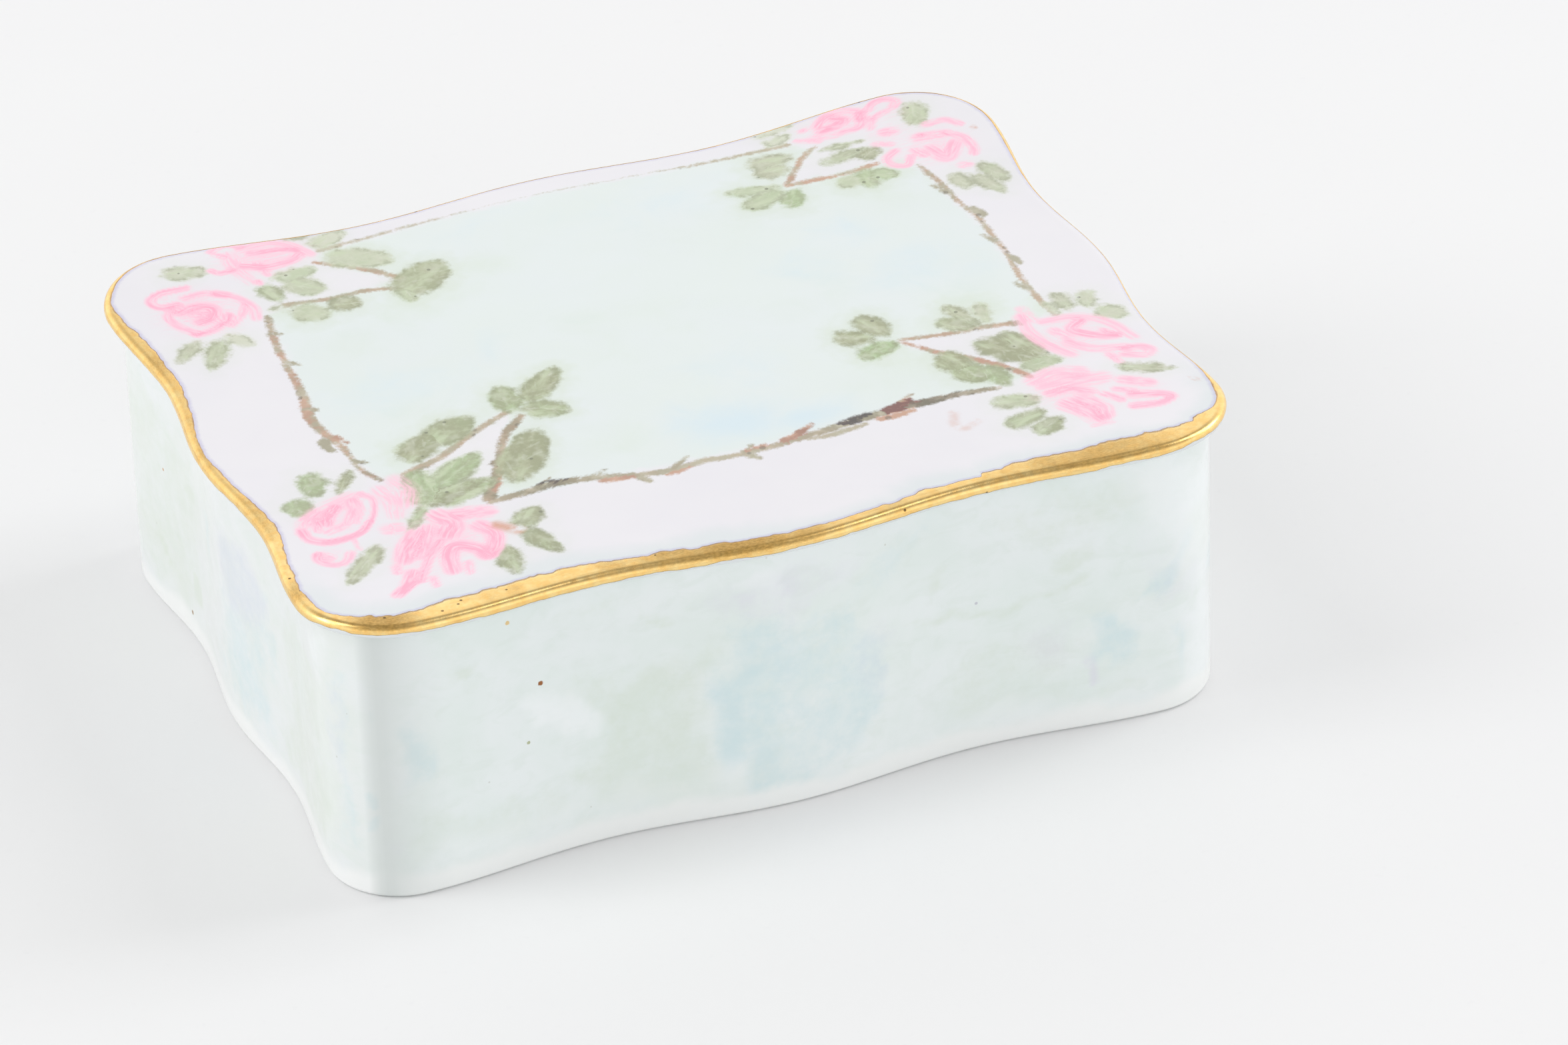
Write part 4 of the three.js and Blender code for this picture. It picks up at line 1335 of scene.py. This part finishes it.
def glaze_bump(surface, spot):
    """The slow unevenness of a poured glaze, with faint orange peel."""
    slow = surface.noise(spot, 0.07, 2.0)
    peel = surface.noise(spot, 0.9, 1.0)
    both = surface.plus(slow, surface.times(peel, 0.03))
    return surface.bump(both, 0.35, 0.6)


def white_glaze(name):
    """Plain white glaze over hard porcelain, faintly greyer where it pools."""
    surface = Surface(name)
    spot = surface.place()
    pooled = surface.noise(spot, 0.05, 3.0)
    tint = surface.mix(pooled, GLAZE_WHITE, GLAZE_POOLED)
    grit = surface.cells(spot, 0.16)["Distance"]
    tint = surface.mix(surface.step(grit, 0.02, 0.035, 0.6, 0.0), tint, GLAZE_GRIT)
    return surface.finish(
        base_color=tint, roughness=surface.step(pooled, 0.3, 0.7, 0.1, 0.16), coat_weight=0.5,
        coat_roughness=0.04, normal=glaze_bump(surface, spot))


def biscuit(name):
    """Bare fired porcelain: dry, matt and slightly sandy."""
    surface = Surface(name)
    spot = surface.place()
    cloudy = surface.noise(spot, 0.12, 3.0)
    grain = surface.noise(spot, 3.0, 3.0, 0.6)
    tint = surface.mix(cloudy, BISCUIT_PALE, BISCUIT_WARM)
    tint = surface.mix(surface.step(grain, 0.62, 0.75, 0.0, 0.35), tint, BISCUIT_GRAIN)
    return surface.finish(
        base_color=tint, roughness=surface.step(grain, 0.3, 0.7, 0.68, 0.85),
        normal=surface.bump(grain, 0.08, 0.6))


def speck(surface, centre, radius):
    """A round mark at a place in millimetres: 1 inside it, fading out at its edge."""
    spot = surface.place()
    ragged = surface.swing(surface.noise(spot, 2.5), 0.35 * radius)
    away = surface.node("VectorMath", {0: spot, 1: centre}, operation="DISTANCE").outputs["Value"]
    return surface.step(surface.plus(away, ragged), 0.7 * radius, 1.15 * radius, 1.0, 0.0)


def wall_glaze(specks):
    """The walls: white glaze brushed with thin mint, blue and lilac, and left bare at the foot."""
    surface = Surface("wall_painted_glaze")
    spot = surface.place()
    # Thin colour was dragged about with a wide soft brush, mostly on a slant.
    brush = surface.noise(surface.place(0.16, 0.16, 0.3), 1.0, 5.0, 0.6, 0.8)
    cloud = surface.noise(spot, 0.075, 4.0, 0.55, 0.4)
    ragged = surface.plus(
        surface.swing(surface.noise(spot, 0.16, 4.0, 0.6), 0.38),
        surface.swing(surface.noise(spot, 0.6, 3.0, 0.6), 0.24))

    at_end = surface.step(surface.maths("ABSOLUTE", surface.axis(spot, "X")), *END_FADE)
    tint = surface.mix(
        surface.step(cloud, 0.3, 0.7), surface.mix(at_end, FRONT_MINT, END_MINT),
        surface.mix(at_end, FRONT_PALE, END_PALE))
    tint = surface.mix(surface.step(brush, 0.46, 0.7, 0.0, 0.35), tint, BRUSHED_MINT)
    for name, shade, most in (
        ("wash_green", WASH_GREEN, 0.6), ("wash_blue", WASH_BLUE, 0.75),
        ("wash_lilac", WASH_LILAC, 0.5), ("wash_pale", WASH_PALE, 0.75),
    ):
        wash = surface.plus(surface.attribute(name), ragged)
        tint = surface.mix(surface.step(wash, 0.12, 1.0, 0.0, most), tint, shade)
    height = surface.attribute("height")
    foot_line = surface.plus(height, surface.swing(cloud, 3.0))
    tint = surface.mix(surface.step(foot_line, 2.4, 5.0, 0.8, 0.0), tint, FOOT_WHITE)
    # The grey-green band down the near-left corner: partly a brushed wash, partly painted shade.
    band = surface.times(surface.attribute("corner_wash_and_painted_shade"), 0.9)
    tint = surface.mix(band, tint, GREY_WASH_AND_SHADE)
    grit = surface.cells(spot, 0.17)["Distance"]
    tint = surface.mix(surface.step(grit, 0.02, 0.035, 0.3, 0.0), tint, WALL_GRIT)
    for centre, radius, shade in specks:
        tint = surface.mix(speck(surface, centre, radius), tint, shade)
    return surface.finish(
        base_color=tint, roughness=surface.step(cloud, 0.3, 0.7, 0.14, 0.22),
        specular_ior_level=0.4, coat_weight=0.15, coat_roughness=0.06,
        normal=glaze_bump(surface, spot))


def leaf_colour(surface, spot):
    """Sage green laid in short strokes, with scratched veins."""
    green = surface.attribute("leaf_green")
    dark = surface.attribute("leaf_dark")
    across = surface.attribute("leaf_across")
    along = surface.attribute("leaf_along")
    mottle = surface.noise(spot, 0.9, 4.0, 0.6)
    sage = surface.mix(surface.step(dark, -0.4, 0.6), SAGE_PALE, SAGE_DARK)
    greener = surface.plus(green, surface.swing(surface.noise(spot, 0.4, 3.0), 0.45), clamp=True)
    tint = surface.mix(greener, sage, LEAF_GREEN)
    lengthways = surface.vector(
        surface.times(along, 1.2), surface.times(across, 1.1),
        surface.plus(surface.times(dark, 31.0), surface.times(green, 17.0)))
    streak = surface.noise(lengthways, 1.0, 3.0, 0.5)
    mottle = surface.plus(surface.times(mottle, 0.45), surface.times(streak, 0.55))
    deep = surface.times(surface.step(mottle, 0.43, 0.6), surface.plus(dark, 0.2))
    tint = surface.mix(surface.times(deep, 0.9), tint, LEAF_DEEP)
    thin = surface.step(surface.noise(spot, 0.35, 2.0), 0.5, 0.7, 0.0, 0.35)
    tint = surface.mix(thin, tint, LEAF_THIN)
    pale = surface.step(streak, 0.34, 0.48, 0.6, 0.0)
    tint = surface.mix(pale, tint, LEAF_STREAK)
    # The midrib and side veins, scratched through the wet colour and partly lost.
    sideways = surface.maths("ABSOLUTE", across)
    wander = surface.swing(surface.noise(spot, 0.8), 0.25)
    midrib = surface.step(
        surface.maths("ABSOLUTE", surface.plus(across, wander)), 0.03, 0.16, 1.0, 0.0)
    slant = surface.plus(surface.times(along, 4.0), surface.times(sideways, -1.4))
    slant = surface.maths("FRACT", surface.plus(slant, wander))
    side_vein = surface.step(
        surface.maths("ABSOLUTE", surface.maths("SUBTRACT", slant, 0.5)), 0.04, 0.15, 1.0, 0.0)
    vein = surface.maths("MAXIMUM", midrib, surface.times(side_vein, 0.7))
    kept = surface.step(surface.noise(spot, 0.5, 2.0), 0.45, 0.65, 0.0, 0.35)
    return surface.mix(surface.times(vein, kept), tint, LEAF_VEIN)


def dark_specks(surface, spot, scale, size, shade, tint, inside):
    """Scattered dots of thick colour inside a painted shape."""
    cells = surface.cells(spot, scale)
    chance = surface.axis(cells["Color"], "X")
    dot = surface.step(cells["Distance"], size, size * 1.6, 1.0, 0.0)
    dot = surface.times(dot, surface.step(chance, 0.55, 0.6))
    return surface.mix(surface.times(dot, inside), tint, shade)


def lid_paint():
    """The lid's top: a pale lilac ground, a mint panel, twigs, leaves and pink roses."""
    surface = Surface("lid_painted_glaze")
    spot = surface.place()
    grain = surface.noise(spot, 1.7, 3.0, 0.6)
    coarse = surface.noise(spot, 0.45, 3.0, 0.55)
    cloud = surface.noise(spot, 0.06, 4.0, 0.55, 0.4)
    fringe = surface.plus(surface.swing(grain, 0.75), surface.swing(coarse, 0.6))

    tint = surface.mix(surface.step(cloud, 0.3, 0.7), LILAC_COOL, LILAC_PALE)
    panel_depth = surface.plus(surface.attribute("panel"), surface.swing(coarse, 1.5))
    panel = surface.step(panel_depth, -0.8, 1.4)
    mint = surface.mix(surface.step(cloud, 0.3, 0.7), MINT_WARM, MINT_COOL)
    drift = surface.swing(surface.noise(spot, 0.11, 4.0, 0.6, 0.5), 0.5)
    for name, shade, most in (
        ("cloud_green", CLOUD_GREEN, 0.8), ("cloud_blue", CLOUD_BLUE, 1.0),
    ):
        wash = surface.plus(surface.attribute(name), drift)
        mint = surface.mix(surface.step(wash, 0.1, 1.0, 0.0, most), mint, shade)
    tint = surface.mix(panel, tint, mint)

    leaf = surface.attribute("leaf")
    haze = surface.step(surface.plus(leaf, surface.swing(coarse, 2.5)), -4.0, 0.3, 0.0, 0.5)
    tint = surface.mix(surface.times(haze, surface.step(panel, -0.6, 1.0)), tint, LEAF_HAZE)

    halo = surface.attribute("gilt_gap")
    towards_front = surface.step(surface.axis(spot, "Y"), *FRONT_FADE, 0.7, 0.0)
    rinsed = surface.step(surface.plus(halo, surface.swing(cloud, 4.0)), 0.5, 5.0, 1.0, 0.0)
    rinsed = surface.times(rinsed, towards_front)
    tint = surface.mix(rinsed, tint, FRONT_RINSE)
    halo = surface.plus(halo, surface.swing(grain, 0.25))
    halo = surface.times(surface.step(halo, 0.1, 0.8, 0.6, 0.0), surface.step(halo, -1.0, -0.6))
    tint = surface.mix(halo, tint, GILT_HALO)

    twig = surface.plus(surface.attribute("twig"), surface.times(fringe, 0.7))
    on_twig = surface.step(twig, -0.45, 0.25)
    twig_dark = surface.attribute("twig_dark")
    twig_red = surface.attribute("twig_red")
    patchy = surface.step(surface.noise(spot, 0.3, 3.0, 0.6), 0.38, 0.6, 0.25, 1.7)
    patchy = surface.times(twig_red, patchy, clamp=True)
    twig_red = surface.maths("MAXIMUM", patchy, surface.step(twig_red, 0.7, 0.9))
    bark = surface.mix(twig_red, BARK_SAGE, BARK_RUST)
    shade = surface.times(surface.step(coarse, 0.28, 0.58), twig_dark)
    shadow = surface.mix(surface.step(twig_red, 0.4, 1.0), SHADE_SAGE, SHADE_RUST)
    bark = surface.mix(surface.times(shade, 0.9), bark, shadow)
    very_dark = surface.step(twig_dark, 0.75, 1.0)
    bark = surface.mix(
        surface.times(very_dark, surface.step(grain, 0.22, 0.46)), bark,
        surface.mix(twig_red, DARKEST_SAGE, DARKEST_RUST))
    bark = dark_specks(surface, spot, 0.45, 0.17, BARK_SPECK, bark, 0.6)
    tint = surface.mix(surface.times(on_twig, 0.95), tint, bark)

    leaf_edge = surface.plus(
        leaf, surface.plus(surface.swing(grain, 0.45), surface.swing(coarse, 1.1)))
    on_leaf = surface.step(leaf_edge, -0.7, 0.55)
    foliage = leaf_colour(surface, spot)
    rim_band = surface.times(
        surface.step(leaf_edge, 0.0, 0.4), surface.step(leaf_edge, 0.4, 1.1, 1.0, 0.0))
    foliage = surface.mix(
        surface.times(rim_band, surface.step(coarse, 0.45, 0.6, 0.0, 0.5)), foliage, LEAF_EDGE)
    foliage = dark_specks(surface, spot, 0.5, 0.11, LEAF_SPECK, foliage, 0.75)
    tint = surface.mix(surface.times(on_leaf, 0.94), tint, foliage)

    rose = surface.attribute("rose")
    bristles = surface.vector(
        surface.times(surface.attribute("rose_along"), 2.2),
        surface.times(surface.attribute("rose_across"), 1.9))
    streak = surface.noise(bristles, 1.0, 3.0, 0.6)
    pink = surface.times(rose, surface.step(streak, 0.32, 0.64, 0.55, 1.2))
    tint = surface.mix(surface.step(pink, 0.04, 0.75, 0.0, 0.95), tint, ROSE_PINK)
    tint = surface.mix(surface.step(pink, 0.62, 1.3, 0.0, 0.9), tint, ROSE_DEEP)
    rust = surface.times(surface.attribute("rust"), surface.step(coarse, 0.3, 0.6))
    tint = surface.mix(rust, tint, RUST_DAB)

    on_paint = surface.maths("MAXIMUM", on_leaf, on_twig)
    raised = surface.plus(surface.noise(spot, 0.07, 2.0), surface.times(on_paint, 0.02))
    return surface.finish(
        base_color=tint, roughness=surface.step(on_paint, 0.0, 1.0, 0.12, 0.24), coat_weight=0.3,
        coat_roughness=0.05, normal=surface.bump(raised, 0.35, 0.6))


def gold():
    """Burnished bright gold, thin and brushed, browner and duller where it went on twice."""
    surface = Surface("rim_gold")
    around = surface.attribute("around")
    across = surface.attribute("across")
    spot = surface.place()
    strokes = surface.vector(surface.times(around, 0.9), surface.times(across, 0.6))
    grain = surface.noise(strokes, 1.0, 4.0, 0.65)
    drawn = surface.vector(surface.times(around, 0.3), surface.times(across, 1.1))
    lines = surface.noise(drawn, 1.0, 2.0, 0.5, 0.6)
    patch = surface.noise(spot, 0.12, 3.0, 0.55)
    mottle = surface.noise(spot, 0.7, 4.0, 0.6)

    upper_part = surface.step(across, 0.0, 0.8)
    matt = surface.plus(
        surface.attribute("matt"), surface.step(patch, 0.4, 0.75, -0.15, 0.3), clamp=True)
    dull = surface.times(upper_part, matt)
    from_edge = surface.plus(surface.attribute("from_edge"), surface.swing(mottle, 0.3))
    tint = surface.mix(surface.step(mottle, 0.3, 0.7), GOLD_PALE, GOLD_WARM)
    tint = surface.mix(surface.times(dull, 0.8), tint, GOLD_DULL)
    tint = surface.mix(surface.step(grain, 0.55, 0.75, 0.0, 0.22), tint, GOLD_GRAIN)
    brushed = surface.vector(surface.times(around, 1.6), surface.times(across, 4.0))
    brushed = surface.times(
        surface.step(surface.noise(brushed, 1.0, 3.0, 0.65), 0.35, 0.65), dull)
    tint = surface.mix(surface.times(brushed, 0.6), tint, GOLD_BRUSHED)
    tint = surface.mix(surface.step(lines, 0.55, 0.75, 0.0, 0.22), tint, GOLD_LINE)
    browned = surface.times(
        surface.step(from_edge, 0.02, 0.3, 0.75, 0.0),
        surface.step(surface.attribute("breadth"), 1.0, 2.6, 0.15, 1.0))
    tint = surface.mix(browned, tint, GOLD_EDGE)
    pits = surface.cells(spot, 0.3)
    tint = surface.mix(surface.step(pits["Distance"], 0.05, 0.08, 0.8, 0.0), tint, GOLD_PIT)
    rough = surface.step(grain, 0.3, 0.7, 0.16, 0.27)
    rough = surface.plus(rough, surface.times(dull, 0.2))
    height = surface.plus(surface.times(grain, 0.4), mottle)
    return surface.finish(
        base_color=tint, metallic=1.0, roughness=rough, normal=surface.bump(height, 0.06, 0.25))


def backdrop():
    """The plain pale sheet that the box stands on."""
    surface = Surface("pale_sheet")
    spot = surface.place()
    soft = surface.noise(spot, 0.012, 3.0)
    fibre = surface.noise(spot, 0.6, 4.0, 0.6)
    tint = surface.mix(soft, SHEET_PALE, SHEET_COOL)
    tint = surface.mix(surface.step(fibre, 0.6, 0.75, 0.0, 0.1), tint, SHEET_FIBRE)
    return surface.finish(base_color=tint, roughness=0.6, specular_ior_level=0.2)


# ----------------------------------------
# Floor, lights and camera
# ----------------------------------------

FLOOR_RADIUS = 3.0
FLOOR_RINGS = 24
FLOOR_SIDES = 96


def make_floor():
    """A wide round flat sheet."""
    points = [(0, 0, 0)]
    faces = []
    for ring in range(1, FLOOR_RINGS + 1):
        share = ring / FLOOR_RINGS
        for side in range(FLOOR_SIDES):
            turn = 2 * math.pi * side / FLOOR_SIDES
            radius = FLOOR_RADIUS / MM * share
            points.append((radius * math.cos(turn), radius * math.sin(turn), 0))
    for side in range(FLOOR_SIDES):
        after = (side + 1) % FLOOR_SIDES
        faces.append((0, 1 + side, 1 + after))
        for ring in range(FLOOR_RINGS - 1):
            here = 1 + ring * FLOOR_SIDES
            above = here + FLOOR_SIDES
            faces.append((here + side, above + side, above + after, here + after))
    floor = make_mesh("pale_floor", np.array(points, dtype=float), faces)
    floor.data.materials.append(backdrop())


SOFTBOX_ELEVATION = 44
SOFTBOX_DISTANCE = 1.6
SOFTBOX_WIDTH = 0.65
SOFTBOX_HEIGHT = 1.4


def softbox(name, azimuth, power):
    """A rectangular light aimed at the box. Azimuth 0 is in front, and 90 is to the right."""
    turn, rise = math.radians(azimuth), math.radians(SOFTBOX_ELEVATION)
    place = SOFTBOX_DISTANCE * Vector(
        (math.sin(turn) * math.cos(rise), -math.cos(turn) * math.cos(rise), math.sin(rise)))
    data = bpy.data.lights.new(name, "AREA")
    data.shape = "RECTANGLE"
    data.size = SOFTBOX_WIDTH
    data.size_y = SOFTBOX_HEIGHT
    data.energy = power
    lamp = bpy.data.objects.new(name, data)
    lamp.location = place
    lamp.rotation_euler = (-place).to_track_quat("-Z", "Y").to_euler()
    bpy.context.scene.collection.objects.link(lamp)


WORLD_HORIZON = 1.2
WORLD_ZENITH = 0.42
WORLD_FADE = (0.4, 0.85)


def make_world():
    """An even pale room, brighter near the floor than overhead."""
    world = bpy.data.worlds.new("studio")
    bpy.context.scene.world = world
    world.use_nodes = True
    tree = world.node_tree
    tree.nodes.clear()
    direction = tree.nodes.new("ShaderNodeTexCoord")
    split = tree.nodes.new("ShaderNodeSeparateXYZ")
    fade = tree.nodes.new("ShaderNodeMapRange")
    fade.interpolation_type = "SMOOTHSTEP"
    fade.inputs["From Min"].default_value = WORLD_FADE[0]
    fade.inputs["From Max"].default_value = WORLD_FADE[1]
    fade.inputs["To Min"].default_value = WORLD_HORIZON
    fade.inputs["To Max"].default_value = WORLD_ZENITH
    glow = tree.nodes.new("ShaderNodeBackground")
    output = tree.nodes.new("ShaderNodeOutputWorld")
    glow.inputs["Color"].default_value = (1.0, 1.0, 1.0, 1.0)
    tree.links.new(direction.outputs["Generated"], split.inputs[0])
    tree.links.new(split.outputs["Z"], fade.inputs["Value"])
    tree.links.new(fade.outputs[0], glow.inputs["Strength"])
    tree.links.new(glow.outputs[0], output.inputs[0])


CAMERA_AIM = Vector((0.01407, -0.01174, 0.020))
CAMERA_DISTANCE = 1.30465
CAMERA_AZIMUTH = -20.574
CAMERA_ELEVATION = 32.416
CAMERA_ROLL = -2.010
CAMERA_LENS = 205.97


def make_camera():
    """A long lens a little to the left of the box's front, looking down on it."""
    turn, rise, roll = (math.radians(a) for a in (CAMERA_AZIMUTH, CAMERA_ELEVATION, CAMERA_ROLL))
    forward = Vector(
        (-math.cos(rise) * math.sin(turn), math.cos(rise) * math.cos(turn), -math.sin(rise)))
    right = Vector((math.cos(turn), math.sin(turn), 0))
    up = right.cross(forward)
    level, upright = right, up
    right = math.cos(roll) * level + math.sin(roll) * upright
    up = -math.sin(roll) * level + math.cos(roll) * upright
    data = bpy.data.cameras.new("photo_camera")
    data.lens = CAMERA_LENS
    data.sensor_width = 36.0
    camera = bpy.data.objects.new("photo_camera", data)
    axes = Matrix((right, up, -forward)).transposed().to_4x4()
    camera.matrix_world = Matrix.Translation(CAMERA_AIM - forward * CAMERA_DISTANCE) @ axes
    bpy.context.scene.collection.objects.link(camera)
    bpy.context.scene.camera = camera


# ----------------------------------------
# Putting it together
# ----------------------------------------

make_camera()
make_world()
make_floor()
softbox("left_softbox", azimuth=-99, power=6.4)
softbox("right_softbox", azimuth=88, power=6.6)
bpy.context.scene.view_settings.view_transform = "Standard"

base = make_base()
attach(base, "base")
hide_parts("box_base")

lid = make_lid()
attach(lid, "lid")
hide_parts("lid")

gilding = make_gilding()
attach(gilding, "lid")
